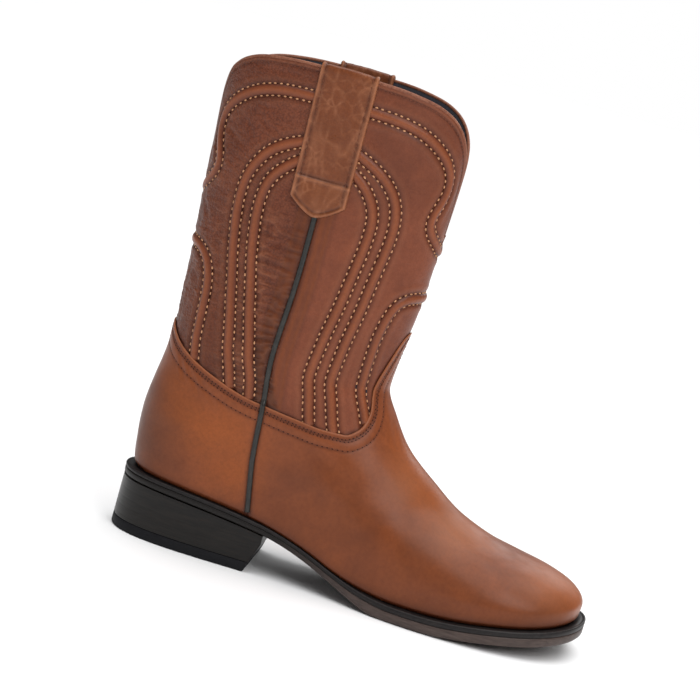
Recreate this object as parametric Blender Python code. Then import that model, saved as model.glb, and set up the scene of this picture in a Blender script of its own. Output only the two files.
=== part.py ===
"""Roper boot, right foot, as a hollow upper on a welted sole with a stacked heel.

Frame: +X to the toe, +Y to the inner side of the foot, +Z up, floor at z = 0.
All sizes below are in millimetres and are scaled to metres when a mesh is made.
Angles go round the boot in degrees: 0 back, 90 outer side, 180 front, 270 inner side.
"""
import math

import bmesh
import bpy
import numpy as np

# Driving sizes of the boot, in millimetres
MM = 0.001
WALL = 1.8
STEP = 1.2
GAP = 0.3
HEEL_BREAST_TOP = 96.5
HEEL_BREAST_BOTTOM = 90.0
HEEL_BACK_BOTTOM = 1.2
CAP_HEIGHT = 6.3
INSOLE_RISE = 2.2
TOE_SWING = 7.0
STRAP_HALF_ANGLE = 13.0
STRAP_THICK = 2.0
STRAP_INNER_END = 232.0
BIND_HEIGHT = 1.8
CORD_HALF = 2.9
CORD_RISE = 1.2
CORD_END = 2.6
PIPE_HALF = 1.7
PIPE_RISE = 1.5

# How fine the faceted solids are
EVEN_ANGLES = 56
NOTCH_ANGLES = (3.2, 176.8, 183.2, 356.8)
AROUND = EVEN_ANGLES + len(NOTCH_ANGLES)
ROWS_LOW = 11
ROWS_HIGH = 10

# Sections of the upper, one row per level, from the feather line to the collar.
# A level is a slanted closed ring from a back point to a front point.
# foot: share of the foot's plan shape in the width, arch: share of the seat's curve in the height
SECTION_NAMES = (
    "level", "back_x", "back_z", "front_x", "front_z", "foot", "arch", "outer", "inner", "round_back", "round_front",
)
SECTIONS = np.array((
    (0.00, 7.4, 37.5, 285.0, 22.5, 1.00, 1.00, 36.0, 36.0, 6.8, 6.0),
    (0.05, 5.6, 46.0, 285.7, 31.0, 1.00, 0.85, 36.0, 36.0, 6.6, 5.6),
    (0.10, 4.7, 54.0, 279.5, 38.5, 0.90, 0.62, 36.0, 36.0, 6.4, 4.4),
    (0.15, 3.9, 62.0, 267.0, 43.4, 0.72, 0.42, 36.0, 36.0, 6.0, 3.3),
    (0.20, 3.7, 69.0, 250.5, 46.6, 0.55, 0.26, 36.0, 36.0, 5.6, 2.6),
    (0.25, 3.9, 76.0, 229.5, 51.0, 0.38, 0.14, 36.0, 36.0, 5.2, 2.3),
    (0.30, 4.7, 84.0, 205.0, 60.4, 0.24, 0.06, 35.5, 35.5, 4.6, 2.15),
    (0.36, 6.2, 94.0, 183.5, 74.0, 0.12, 0.02, 35.2, 35.2, 3.9, 2.1),
    (0.42, 8.0, 105.0, 163.5, 89.6, 0.04, 0.00, 35.2, 35.2, 3.2, 2.1),
    (0.48, 8.9, 116.0, 149.8, 107.6, 0.00, 0.00, 35.4, 35.4, 2.7, 2.1),
    (0.54, 8.8, 128.0, 141.4, 125.0, 0.00, 0.00, 35.8, 35.8, 2.4, 2.1),
    (0.61, 8.2, 145.0, 143.0, 145.0, 0.00, 0.00, 36.3, 36.3, 2.2, 2.1),
    (0.70, 7.0, 172.0, 147.2, 172.0, 0.00, 0.00, 36.8, 36.8, 2.1, 2.1),
    (0.80, 4.8, 212.0, 149.4, 212.0, 0.00, 0.00, 37.5, 37.5, 2.1, 2.1),
    (0.90, 2.2, 256.0, 151.2, 256.0, 0.00, 0.00, 38.0, 38.0, 2.1, 2.1),
    (1.00, 0.5, 300.0, 152.0, 300.0, 0.00, 0.00, 38.5, 38.5, 2.1, 2.1),
))

# Half widths of the foot on each side of its centre line: x, outer side, inner side
FOOT = np.array((
    (0, 32, 32), (40, 32, 32), (75, 32, 29.5), (100, 33, 26.5), (125, 35, 25), (150, 39, 27), (175, 43.5, 32.5),
    (200, 47, 38.5), (220, 48.5, 42), (240, 49, 44.5), (260, 49, 46), (280, 48.5, 46.5), (300, 48, 47),
))

# Height of the top of the welt, and of the underside of the outsole: x, z
SEAT = np.array((
    (0, 38), (40, 36.5), (65, 34.5), (85, 32), (97, 30), (112, 26.3), (128, 21.2), (141, 16.5), (155, 12.6),
    (170, 10.2), (185, 9.5), (205, 9.8), (220, 11), (240, 13.6), (258, 16.2), (275, 19), (296, 23.2),
))
UNDERSIDE = np.array((
    (0, 31.5), (40, 30.3), (65, 28.3), (85, 26), (97, 24.2), (112, 20.6), (128, 15.2), (141, 10), (155, 4.6),
    (165, 1.2), (172, 0), (200, 0), (208, 0.35), (220, 1.6), (240, 4.2), (258, 6.8), (275, 9.6), (296, 13.8),
))

# How far the welt stands out past the upper, and how thick it is: x, margin, thickness
WELT = np.array((
    (0, 6.6, 2.0), (9, 6.0, 2.0), (25, 4.6, 2.0), (45, 3.8, 2.0), (80, 3.2, 2.0), (110, 1.8, 2.0), (140, 2.0, 2.2), (160, 4.0, 2.8),
    (180, 5.8, 3.2), (210, 6.4, 3.2), (300, 6.4, 3.2),
))

# Top edge of the vamp and the counter, on one side: angle, height
PANEL_EDGE = np.array((
    (0, 129), (10, 127.5), (20, 123.5), (32, 118), (46, 112), (60, 106.5), (75, 101), (88, 98.5), (100, 96.5),
    (112, 94.8), (122, 94.8), (130, 97.6), (137, 101.8), (143, 107), (148, 112.8), (152, 119.5), (156, 129.5),
    (163, 145.5), (168, 154.5), (180, 159.5),
))

# Top edge of the shaft measured from the middle of the front or of the back: angle, height
COLLAR_FRONT = np.array((
    (0, 219), (2, 236), (4.5, 253), (8, 262), (13, 269), (22, 278), (31.5, 285), (43, 290.5), (60, 294.5), (90, 296.5),
))
COLLAR_BACK = np.array((
    (0, 219), (2, 236), (4.5, 253), (8, 264), (12, 271.5), (19, 280), (28, 286), (41, 291.5), (61, 295.3), (90, 296.5),
))

# Side seam from the tip of the strap to the sole: angle, height
SEAM = np.array((
    (90.5, 209), (90.3, 187), (90, 161), (89.3, 131), (84.3, 101), (76, 79), (69.5, 66), (65.5, 57), (63.5, 45), (63.5, 35.5),
))

# Corded rows on the outer side, from the strap down: angle, height. Back rows are given as 180 less their angle.
OUTER_ARCH_FRONT = np.array((
    (105, 253.3), (112, 249.3), (119, 243.8), (125, 236.3), (128.5, 226), (129, 216), (127.5, 202), (125.5, 186),
    (124.3, 165), (123.5, 150), (122.8, 136), (121, 122), (116.5, 104),
))
OUTER_ARCH_BACK = np.array((
    (105, 252.5), (112.5, 248), (118, 243.5), (123, 236), (127, 228.5), (129, 219), (129.5, 209), (128.6, 197),
    (126.5, 183), (123.5, 169), (120, 154), (115.5, 134), (113, 117), (112.8, 104),
))
INNER_ARCH_FRONT = np.array((
    (105, 241.8), (109, 238.2), (113, 232.5), (116, 227), (117.2, 219), (116.8, 207), (114.8, 190), (113, 170),
    (111.6, 150), (110.4, 134), (108.6, 120.5), (104.5, 104),
))
INNER_ARCH_BACK = np.array((
    (105, 240.5), (110, 235.3), (114.5, 229.5), (117, 221), (117.6, 210), (117, 199), (114.8, 184), (112, 171),
    (108.5, 156), (104.5, 141), (102, 129), (101.6, 117), (103.5, 107),
))
SMALL_ARCH_FRONT = np.array((
    (180, 181.5), (164, 181), (152, 180), (146, 177), (142.5, 171), (141.5, 160), (142.3, 148), (143.2, 135), (142.3, 124),
    (140, 114),
))
SMALL_ARCH_BACK = np.array((
    (180, 179), (160, 178.5), (148, 176), (141, 169), (138, 160), (137.5, 147), (136.8, 134), (135.8, 122),
))
COLLAR_ROW = np.array((
    (105, 279.5), (118, 278.5), (133, 274), (147, 265.5), (156, 257), (159, 248), (156, 238), (151, 229),
    (152, 222), (160, 217), (170, 212), (180, 208),
))


def blend_through(stops, values, at):
    """A smooth curve through the stops of a table that never swings past two neighbouring values."""
    stops = np.asarray(stops, float)
    values = np.asarray(values, float)
    at = np.clip(np.asarray(at, float), stops[0], stops[-1])
    run = np.diff(stops)
    rise = np.diff(values) / run
    slope = np.zeros_like(values)
    same_way = rise[:-1] * rise[1:] > 0
    mean = (rise[:-1] * run[1:] + rise[1:] * run[:-1]) / (run[:-1] + run[1:])
    limit = 3.0 * np.minimum(np.abs(rise[:-1]), np.abs(rise[1:]))
    slope[1:-1] = np.where(same_way, np.sign(mean) * np.minimum(np.abs(mean), limit), 0.0)
    slope[0] = rise[0]
    slope[-1] = rise[-1]
    i = np.clip(np.searchsorted(stops, at, side="right") - 1, 0, len(stops) - 2)
    h = run[i]
    t = (at - stops[i]) / h
    low = (2 * t**3 - 3 * t**2 + 1) * values[i] + (t**3 - 2 * t**2 + t) * h * slope[i]
    high = (3 * t**2 - 2 * t**3) * values[i + 1] + (t**3 - t**2) * h * slope[i + 1]
    return low + high


def section(name, level):
    """One named column of the section table at any level."""
    return blend_through(SECTIONS[:, 0], SECTIONS[:, SECTION_NAMES.index(name)], level)


def ease(t):
    t = np.clip(t, 0.0, 1.0)
    return t * t * (3.0 - 2.0 * t)


def seat_height(x):
    return blend_through(SEAT[:, 0], SEAT[:, 1], x)


def underside_height(x):
    return blend_through(UNDERSIDE[:, 0], UNDERSIDE[:, 1], x)


def welt_margin(x):
    return blend_through(WELT[:, 0], WELT[:, 1], x)


def welt_thickness(x):
    return blend_through(WELT[:, 0], WELT[:, 2], x)


def body(level, angle):
    """Point of the leather surface at a level from 0 (sole) to 1 (collar) and an angle in degrees."""
    level, angle = np.broadcast_arrays(np.asarray(level, float), np.asarray(angle, float))
    turn = np.radians(angle)
    cosine = np.cos(turn)
    along = (1.0 - cosine) / 2.0
    back_x = section("back_x", level)
    back_z = section("back_z", level)
    x = back_x + (section("front_x", level) - back_x) * along
    low_x = SECTIONS[0, 1] + (SECTIONS[0, 3] - SECTIONS[0, 1]) * along
    low_line = SECTIONS[0, 2] + (SECTIONS[0, 4] - SECTIONS[0, 2]) * along
    z = back_z + (section("front_z", level) - back_z) * along
    z = z + section("arch", level) * (seat_height(low_x) - low_line)
    power = np.where(cosine > 0, section("round_back", level), section("round_front", level))
    reach = np.sqrt(np.clip(1.0 - np.abs(cosine) ** power, 0.0, 1.0))
    foot = section("foot", level)
    outer = foot * blend_through(FOOT[:, 0], FOOT[:, 1], x) + (1.0 - foot) * section("outer", level)
    inner = foot * blend_through(FOOT[:, 0], FOOT[:, 2], x) + (1.0 - foot) * section("inner", level)
    centre = TOE_SWING * ease((x - 130.0) / 170.0)
    y = centre + np.where(np.sin(turn) >= 0, -outer, inner) * reach
    return np.stack([x, y, z + GAP], axis=-1)


def outward(level, angle):
    """Unit normal of the leather surface, away from the foot."""
    level, angle = np.broadcast_arrays(np.asarray(level, float), np.asarray(angle, float))
    rise = body(np.minimum(level + 0.004, 1.0), angle) - body(np.maximum(level - 0.004, 0.0), angle)
    run = body(level, angle + 0.5) - body(level, angle - 0.5)
    normal = np.cross(run, rise)
    return normal / np.linalg.norm(normal, axis=-1, keepdims=True)


def fold(angle):
    """Any angle as the matching angle of the outer half, 0 to 180."""
    return np.degrees(np.arccos(np.clip(np.cos(np.radians(angle)), -1.0, 1.0)))


def level_at(angle, height):
    """The level at which the surface has this height, at this angle."""
    angle, height = np.broadcast_arrays(np.asarray(angle, float), np.asarray(height, float))
    ladder = np.linspace(0.0, 1.0, 241)
    out = np.zeros(angle.shape)
    for i in np.ndindex(angle.shape):
        heights = np.maximum.accumulate(body(ladder, angle[i])[:, 2])
        out[i] = np.interp(height[i], heights, ladder)
    return out


def panel_level(angle):
    side = fold(angle)
    return level_at(angle, blend_through(PANEL_EDGE[:, 0], PANEL_EDGE[:, 1], side))


def collar_level(angle):
    side = fold(angle)
    front = blend_through(COLLAR_FRONT[:, 0], COLLAR_FRONT[:, 1], np.minimum(180.0 - side, 90.0))
    back = blend_through(COLLAR_BACK[:, 0], COLLAR_BACK[:, 1], np.minimum(side, 90.0))
    return level_at(angle, np.where(side > 90.0, front, back))


def raised(level, angle, offset):
    return body(level, angle) + outward(level, angle) * np.asarray(offset, float)[..., None]


def on_path(table, count, mirror_back, mirror_inner):
    """Evenly spaced angles and levels along a table of angles and heights, with room left at neither end."""
    steps = np.linspace(0.0, 1.0, len(table))
    fine = np.linspace(0.0, 1.0, 400)
    angles = blend_through(steps, table[:, 0], fine)
    heights = blend_through(steps, table[:, 1], fine)
    points = body(level_at(angles[::8], heights[::8]), angles[::8])
    lengths = np.concatenate(([0.0], np.cumsum(np.linalg.norm(np.diff(points, axis=0), axis=1))))
    at = np.interp(np.linspace(0.0, lengths[-1], count), lengths, fine[::8][: len(lengths)])
    angles = blend_through(steps, table[:, 0], at)
    heights = blend_through(steps, table[:, 1], at)
    if mirror_back:
        angles = 180.0 - angles
    if mirror_inner:
        angles = 360.0 - angles
    return angles, heights


# Mesh helpers


def paired_cap(count, single_ends):
    """Faces that close a ring by joining each point to the one across from it."""
    faces = []
    if single_ends:
        faces.append((0, 1, count - 1))
        for k in range(1, count // 2 - 1):
            faces.append((k, k + 1, count - k - 1, count - k))
        faces.append((count // 2 - 1, count // 2, count // 2 + 1))
    else:
        for k in range(count // 2 - 1):
            faces.append((k, k + 1, count - 2 - k, count - 1 - k))
    return faces


def solid_from_loops(name, loops, material, wrap, single_ends=False):
    """One closed solid from loops of equal length, joined in order and closed at both ends."""
    count = len(loops[0])
    points = (np.concatenate(loops) - middle_of_floor_plan()) * MM
    faces = []
    last = len(loops) if wrap else len(loops) - 1
    for r in range(last):
        low = r * count
        high = ((r + 1) % len(loops)) * count
        for k in range(count):
            n = (k + 1) % count
            faces.append((low + k, low + n, high + n, high + k))
    if not wrap:
        top = (len(loops) - 1) * count
        for face in paired_cap(count, single_ends):
            faces.append(tuple(reversed(face)))
            faces.append(tuple(top + k for k in face))
    mesh = bpy.data.meshes.new(name)
    mesh.from_pydata([tuple(p) for p in points], [], faces)
    shape = bmesh.new()
    shape.from_mesh(mesh)
    bmesh.ops.recalc_face_normals(shape, faces=shape.faces)
    shape.to_mesh(mesh)
    shape.free()
    mesh.materials.append(material)
    thing = bpy.data.objects.new(name, mesh)
    bpy.data.collections["roper_boot"].objects.link(thing)
    return thing


def principled(name, colour, roughness):
    material = bpy.data.materials.new(name)
    material.use_nodes = True
    shader = material.node_tree.nodes["Principled BSDF"]
    shader.inputs["Base Color"].default_value = (*colour, 1.0)
    shader.inputs["Roughness"].default_value = roughness
    return material


def ring_angles():
    even = np.arange(EVEN_ANGLES) * 360.0 / EVEN_ANGLES
    return np.sort(np.concatenate([even, NOTCH_ANGLES]))


def plan_ring(offset, inset=0.0):
    """The feather line moved outwards in plan, as x and y. Offset is a number or a function of x."""
    angles = ring_angles()
    here = body(0.0, angles)
    run = body(0.0, angles + 0.3) - body(0.0, angles - 0.3)
    run = run[:, :2] / np.linalg.norm(run[:, :2], axis=1, keepdims=True)
    side = np.stack([run[:, 1], -run[:, 0]], axis=1)
    amount = offset(here[:, 0]) if callable(offset) else np.full(len(here), float(offset))
    return here[:, :2] + side * (amount - inset)[:, None]


def middle_of_floor_plan():
    """The point of the boot that sits at the world origin: the middle of the sole's bounding box, on the floor."""
    outline = plan_ring(welt_margin)
    middle = (outline.min(axis=0) + outline.max(axis=0)) / 2.0
    return np.array([middle[0], middle[1], 0.0])


def at_height(plan, height):
    return np.column_stack([plan, np.broadcast_to(height, (len(plan),))])


# The pieces


def make_upper(material):
    """Hollow leather hull. The vamp and the counter stand proud of the shaft by a step in the wall."""
    angles = ring_angles()
    edge = panel_level(angles)
    rim = collar_level(angles)
    outer = []
    for t in np.linspace(0.0, 1.0, ROWS_LOW + 1):
        outer.append(raised(edge * t**1.25, angles, np.full(AROUND, STEP)))
    low = outer[0].copy()
    for t in np.linspace(0.0, 1.0, ROWS_HIGH + 1):
        level = edge + 0.003 + (rim - edge - 0.003) * t**1.35
        outer.append(raised(level, angles, np.zeros(AROUND)))
    inner = []
    for t in np.linspace(1.0, 0.0, ROWS_HIGH + 1):
        inner.append(raised(edge + (rim - edge) * t**1.35, angles, np.full(AROUND, -WALL)))
    for t in np.linspace(1.0, 0.0, ROWS_LOW + 1)[1:]:
        inner.append(raised(edge * t**1.25, angles, np.full(AROUND, -WALL)))
    outer[0][:, 2] = body(0.0, angles)[:, 2]
    inner[-1][:, 2] = body(0.0, angles)[:, 2]
    return solid_from_loops("upper", outer + inner, material, wrap=True)


def rim_frame(angles):
    """Middle of the wall on the collar, the outward normal, and the way past the edge."""
    rim = collar_level(angles)
    here = raised(rim, angles, np.full(len(angles), -WALL / 2.0))
    ahead = raised(collar_level(angles + 1.5), angles + 1.5, np.full(len(angles), -WALL / 2.0))
    behind = raised(collar_level(angles - 1.5), angles - 1.5, np.full(len(angles), -WALL / 2.0))
    run = ahead - behind
    run = run / np.linalg.norm(run, axis=1, keepdims=True)
    normal = outward(rim, angles)
    past = np.cross(run, normal)
    past = past / np.linalg.norm(past, axis=1, keepdims=True)
    past = past * np.sign(past[:, 2:3])
    return here, normal, past


def make_binding(material):
    """Thin rolled band that sits on the edge of the collar."""
    angles = ring_angles()
    here, normal, past = rim_frame(angles)
    half = WALL / 2.0
    profile = ((-half, GAP), (half, GAP), (half, 1.2), (half * 0.4, BIND_HEIGHT), (-half * 0.4, BIND_HEIGHT), (-half, 1.2))
    loops = []
    for k in range(len(angles)):
        loops.append(np.array([here[k] + normal[k] * a + past[k] * b for a, b in profile]))
    return solid_from_loops("collar_binding", loops, material, wrap=True)


def make_strap(name, middle, material):
    """Band folded over the collar: pointed end outside, straight end inside."""
    across = np.linspace(-STRAP_HALF_ANGLE, STRAP_HALF_ANGLE, 7)
    angles = middle + across
    tip = 213.0 + 9.5 * (np.abs(across) / STRAP_HALF_ANGLE) ** 1.3
    rim = collar_level(angles)
    start = level_at(angles, tip)
    stop = level_at(angles, np.full(len(angles), STRAP_INNER_END))
    here, normal, past = rim_frame(angles)
    half = WALL / 2.0
    near = []
    far = []
    for t in np.linspace(0.0, 1.0, 9):
        level = start + (rim - start) * t
        near.append(raised(level, angles, np.full(len(angles), GAP)))
        far.append(raised(level, angles, np.full(len(angles), GAP + STRAP_THICK)))
    top = BIND_HEIGHT + 0.5
    corners = ((half + GAP, top, half + GAP + STRAP_THICK * 0.75, top + STRAP_THICK * 0.7),
               (0.0, top + 0.1, 0.0, top + STRAP_THICK),
               (-half - GAP, top, -half - GAP - STRAP_THICK * 0.75, top + STRAP_THICK * 0.7))
    for near_side, near_up, far_side, far_up in corners:
        near.append(here + normal * near_side + past * near_up)
        far.append(here + normal * far_side + past * far_up)
    for t in np.linspace(1.0, 0.0, 7):
        level = stop + (rim - stop) * t
        near.append(raised(level, angles, np.full(len(angles), -WALL - GAP)))
        far.append(raised(level, angles, np.full(len(angles), -WALL - GAP - STRAP_THICK)))
    loops = [np.concatenate([a, b[::-1]]) for a, b in zip(near, far)]
    return solid_from_loops(name, loops, material, wrap=False)


def make_ridge(name, angles, heights, profile, base, material):
    """A soft ridge that follows a path on the leather. The profile is sideways and outwards, from one foot over the top."""
    levels = level_at(angles, heights)
    here = body(levels, angles)
    normal = outward(levels, angles)
    run = np.gradient(here, axis=0)
    run = run / np.linalg.norm(run, axis=1, keepdims=True)
    side = np.cross(run, normal)
    side = side / np.linalg.norm(side, axis=1, keepdims=True)
    loops = []
    for k in range(len(angles)):
        loops.append(np.array([here[k] + side[k] * a + normal[k] * (b + base[k]) for a, b in profile]))
    return solid_from_loops(name, loops, material, wrap=False)


def make_piping(name, mirror_inner, material):
    """Narrow bead over the side seam, which climbs onto the vamp and the counter."""
    angles, heights = on_path(SEAM, 26, False, mirror_inner)
    edge = blend_through(PANEL_EDGE[:, 0], PANEL_EDGE[:, 1], fold(angles))
    base = GAP + STEP * ease((edge + 4.0 - heights) / 3.0)
    profile = ((-PIPE_HALF, 0.0), (-PIPE_HALF * 0.6, PIPE_RISE * 0.85), (PIPE_HALF * 0.6, PIPE_RISE * 0.85), (PIPE_HALF, 0.0))
    return make_ridge(name, angles, heights, profile, base, material)


def down_to_panel(angles, heights, room):
    """Stretches a path so that its lower end stops just above the edge of the vamp or the counter."""
    low = blend_through(PANEL_EDGE[:, 0], PANEL_EDGE[:, 1], fold(angles[-1])) + room
    top = heights.max()
    return top - (top - heights) * (top - low) / (top - heights[-1])


def make_cord(name, table, count, mirror_back, mirror_inner, material):
    angles, heights = on_path(table, count, mirror_back, mirror_inner)
    heights = down_to_panel(angles, heights, CORD_END)
    profile = ((-CORD_HALF, 0.0), (-CORD_HALF * 0.4, CORD_RISE), (CORD_HALF * 0.4, CORD_RISE), (CORD_HALF, 0.0))
    return make_ridge(name, angles, heights, profile, np.full(count, GAP), material)


def make_round_cord(name, table, count, mirror_back, material):
    """A corded row that goes round the front or the back of the shaft, from one side to the other."""
    angles, heights = on_path(table, count, mirror_back, False)
    if abs(table[0, 0] - 180) > abs(table[-1, 0] - 180):
        angles = angles[::-1]
        heights = heights[::-1]
    else:
        heights = down_to_panel(angles, heights, CORD_END + 8.0)
    middle = 0.0 if mirror_back else 180.0
    other = 2.0 * middle - angles[1:]
    angles = np.concatenate([angles[::-1], other])
    heights = np.concatenate([heights[::-1], heights[1:]])
    profile = ((-CORD_HALF, 0.0), (-CORD_HALF * 0.4, CORD_RISE), (CORD_HALF * 0.4, CORD_RISE), (CORD_HALF, 0.0))
    return make_ridge(name, angles, heights, profile, np.full(len(angles), GAP + 0.3), material)


def make_insole(material):
    plan = plan_ring(-WALL - GAP - 0.4)
    x = plan[:, 0]
    low = at_height(plan, seat_height(x) - welt_thickness(x))
    high = at_height(plan, seat_height(x) + INSOLE_RISE)
    return solid_from_loops("insole", [low, high], material, wrap=False, single_ends=True)


def make_welt(material):
    """Strip between the upper and the outsole, wide round the forefoot and narrow at the waist."""
    outer = plan_ring(welt_margin)
    lip = plan_ring(welt_margin, inset=0.7)
    inner = plan_ring(-WALL)
    loops = [
        at_height(outer, seat_height(outer[:, 0]) - welt_thickness(outer[:, 0])),
        at_height(outer, seat_height(outer[:, 0]) - 0.8),
        at_height(lip, seat_height(lip[:, 0])),
        at_height(inner, seat_height(inner[:, 0])),
        at_height(inner, seat_height(inner[:, 0]) - welt_thickness(inner[:, 0])),
    ]
    return solid_from_loops("welt", loops, material, wrap=True)


def make_outsole(material):
    """Full-length sole with arch and toe spring, flat on the floor under the ball."""
    inset = plan_ring(welt_margin, inset=1.8)
    edge = plan_ring(welt_margin, inset=0.1)
    x = edge[:, 0]
    top = seat_height(x) - welt_thickness(x) - GAP
    loops = [
        at_height(inset, underside_height(inset[:, 0])),
        at_height(edge, underside_height(x) + 1.3),
        at_height(edge, top),
    ]
    return solid_from_loops("outsole", loops, material, wrap=False, single_ends=True)


def heel_ring(back, breast, shrink, height, stations=11):
    """Outline of the heel at one height: round at the back, straight at the breast."""
    outline = plan_ring(welt_margin, inset=0.4)
    half = AROUND // 2
    outer_side = outline[: half + 1]
    inner_side = np.concatenate([outline[half:], outline[:1]])[::-1]
    share = (1.0 - np.cos(np.linspace(0.0, math.pi / 2.0, stations))) ** 1.0
    start = outline[0, 0]
    x_source = start + (HEEL_BREAST_TOP - start) * share
    x_here = back + (breast - back) * share
    y_outer = np.interp(x_source, outer_side[:, 0], outer_side[:, 1]) * shrink
    y_inner = np.interp(x_source, inner_side[:, 0], inner_side[:, 1]) * shrink
    outer = np.column_stack([x_here, y_outer])
    inner = np.column_stack([x_here, y_inner])[1:][::-1]
    plan = np.concatenate([outer, inner])
    lift = height(plan[:, 0]) if callable(height) else height
    return at_height(plan, lift)


def close_heel(name, loops, material):
    """The heel rings have one point at the back and an edge across the breast."""
    padded = []
    for loop in loops:
        padded.append(np.concatenate([loop[:1], loop]))
    shape = solid_from_loops(name, padded, material, wrap=False)
    mesh = bmesh.new()
    mesh.from_mesh(shape.data)
    bmesh.ops.remove_doubles(mesh, verts=mesh.verts, dist=1e-6)
    bmesh.ops.dissolve_degenerate(mesh, edges=mesh.edges, dist=1e-7)
    bmesh.ops.recalc_face_normals(mesh, faces=mesh.faces)
    mesh.to_mesh(shape.data)
    mesh.free()
    return shape


def heel_back(z):
    """The back of the heel leans in a little towards the floor."""
    top_x = plan_ring(welt_margin, inset=0.4)[0, 0]
    return top_x + (HEEL_BACK_BOTTOM - top_x) * (31.0 - z) / 31.0


def heel_breast(z):
    return HEEL_BREAST_BOTTOM + (HEEL_BREAST_TOP - HEEL_BREAST_BOTTOM) * z / 24.0


def make_heel_stack(material):
    low = CAP_HEIGHT + GAP
    loops = [
        heel_ring(heel_back(low), heel_breast(low), 0.975, low),
        heel_ring(heel_back(18.0), heel_breast(14.0), 0.985, 14.0),
        heel_ring(heel_back(31.0), HEEL_BREAST_TOP, 1.0, lambda x: underside_height(x) - GAP),
    ]
    return close_heel("heel_stack", loops, material)


def make_heel_cap(material):
    loops = [
        heel_ring(heel_back(0.0) + 0.9, heel_breast(0.0) - 0.6, 0.955, 0.0),
        heel_ring(heel_back(1.0), heel_breast(0.0), 0.975, 1.0),
        heel_ring(heel_back(CAP_HEIGHT), heel_breast(CAP_HEIGHT), 0.975, CAP_HEIGHT),
    ]
    return close_heel("heel_cap", loops, material)


def main():
    for thing in list(bpy.data.objects):
        bpy.data.objects.remove(thing)
    collection = bpy.data.collections.new("roper_boot")
    bpy.context.scene.collection.children.link(collection)
    brown = principled("shaft_leather", (0.20, 0.064, 0.031), 0.45)
    tan = principled("strap_leather", (0.24, 0.083, 0.032), 0.40)
    binding = principled("binding_leather", (0.13, 0.045, 0.024), 0.5)
    cord = principled("cord_leather", (0.24, 0.080, 0.036), 0.42)
    piping = principled("piping_leather", (0.03, 0.028, 0.024), 0.35)
    board = principled("insole_board", (0.05, 0.045, 0.042), 0.8)
    welt = principled("welt_leather", (0.075, 0.05, 0.042), 0.5)
    sole = principled("sole_leather", (0.07, 0.052, 0.046), 0.5)
    stack = principled("heel_leather", (0.026, 0.019, 0.015), 0.4)
    rubber = principled("heel_rubber", (0.02, 0.021, 0.024), 0.7)
    make_upper(brown)
    make_binding(binding)
    make_strap("pull_strap_lateral", 90.0, tan)
    make_strap("pull_strap_medial", 270.0, tan)
    make_piping("seam_piping_lateral", False, piping)
    make_piping("seam_piping_medial", True, piping)
    tables = {
        "front": (OUTER_ARCH_FRONT, INNER_ARCH_FRONT, SMALL_ARCH_FRONT),
        "back": (OUTER_ARCH_BACK, INNER_ARCH_BACK, SMALL_ARCH_BACK),
    }
    for panel, (outer_arch, inner_arch, small_arch) in tables.items():
        back = panel == "back"
        for side, inner in (("lateral", False), ("medial", True)):
            make_cord("cord_outer_" + panel + "_" + side, outer_arch, 19, back, inner, cord)
            make_cord("cord_inner_" + panel + "_" + side, inner_arch, 16, back, inner, cord)
        make_round_cord("cord_small_arch_" + panel, small_arch, 22, back, cord)
        make_round_cord("cord_collar_" + panel, COLLAR_ROW, 34, back, cord)
    make_insole(board)
    make_welt(welt)
    make_outsole(sole)
    make_heel_stack(stack)
    make_heel_cap(rubber)


main()
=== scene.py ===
"""Roper boot, right foot: leather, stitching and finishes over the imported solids.

Sizes are millimetres in the boot's own frame: x to the toe, y to the inner side, z up.
Angles go round the boot in degrees: 0 back, 90 outer side, 180 front, 270 inner side.
A level runs from 0 at the sole to 1 at the collar, on slanted closed rings.
"""
import logging
import math
from dataclasses import dataclass
from enum import Enum

import bmesh
import bpy
import numpy as np
from bpy.types import Material, Node, NodeSocket, Object
from mathutils import Matrix, Vector


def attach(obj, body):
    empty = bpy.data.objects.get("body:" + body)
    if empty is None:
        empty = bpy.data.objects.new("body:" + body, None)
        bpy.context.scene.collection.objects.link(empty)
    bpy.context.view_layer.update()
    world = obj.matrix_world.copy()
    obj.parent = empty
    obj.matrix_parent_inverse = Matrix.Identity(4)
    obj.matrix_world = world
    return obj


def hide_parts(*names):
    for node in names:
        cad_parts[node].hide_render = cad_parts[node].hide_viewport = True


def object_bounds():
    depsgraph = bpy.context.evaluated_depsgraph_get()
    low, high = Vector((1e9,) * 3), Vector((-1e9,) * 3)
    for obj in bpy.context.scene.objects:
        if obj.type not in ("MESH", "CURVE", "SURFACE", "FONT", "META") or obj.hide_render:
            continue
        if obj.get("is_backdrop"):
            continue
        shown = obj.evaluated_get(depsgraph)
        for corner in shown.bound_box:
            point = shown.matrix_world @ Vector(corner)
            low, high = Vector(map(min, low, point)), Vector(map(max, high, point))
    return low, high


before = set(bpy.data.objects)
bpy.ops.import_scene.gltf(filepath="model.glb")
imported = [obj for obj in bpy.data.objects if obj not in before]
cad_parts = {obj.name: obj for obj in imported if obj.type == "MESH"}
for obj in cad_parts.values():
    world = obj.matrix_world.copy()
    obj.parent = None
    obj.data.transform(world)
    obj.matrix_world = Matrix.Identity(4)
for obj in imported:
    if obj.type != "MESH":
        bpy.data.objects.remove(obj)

Array = np.ndarray

LOG = logging.getLogger("roper_boot")

# Metres in a millimetre
MM = 0.001

# Thickness of the shaft's wall, how far vamp and counter stand out over it, and the air between two pieces
WALL = 1.8
STEP = 1.2
GAP = 0.3

# Heel: x of the breast at the top and the bottom, x of the back at the floor, top of the block and the cap
HEEL_BREAST_TOP = 96.5
HEEL_BREAST_BOTTOM = 90.0
HEEL_BACK_BOTTOM = 1.2
HEEL_TOP = 31.0
CAP_HEIGHT = 6.3

# Height of the footbed over the top of the welt
INSOLE_RISE = 2.2

# How far the forefoot swings to the inner side, from which x and over what length
TOE_SWING = 7.0
SWING_START = 130.0
SWING_LENGTH = 170.0

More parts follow.
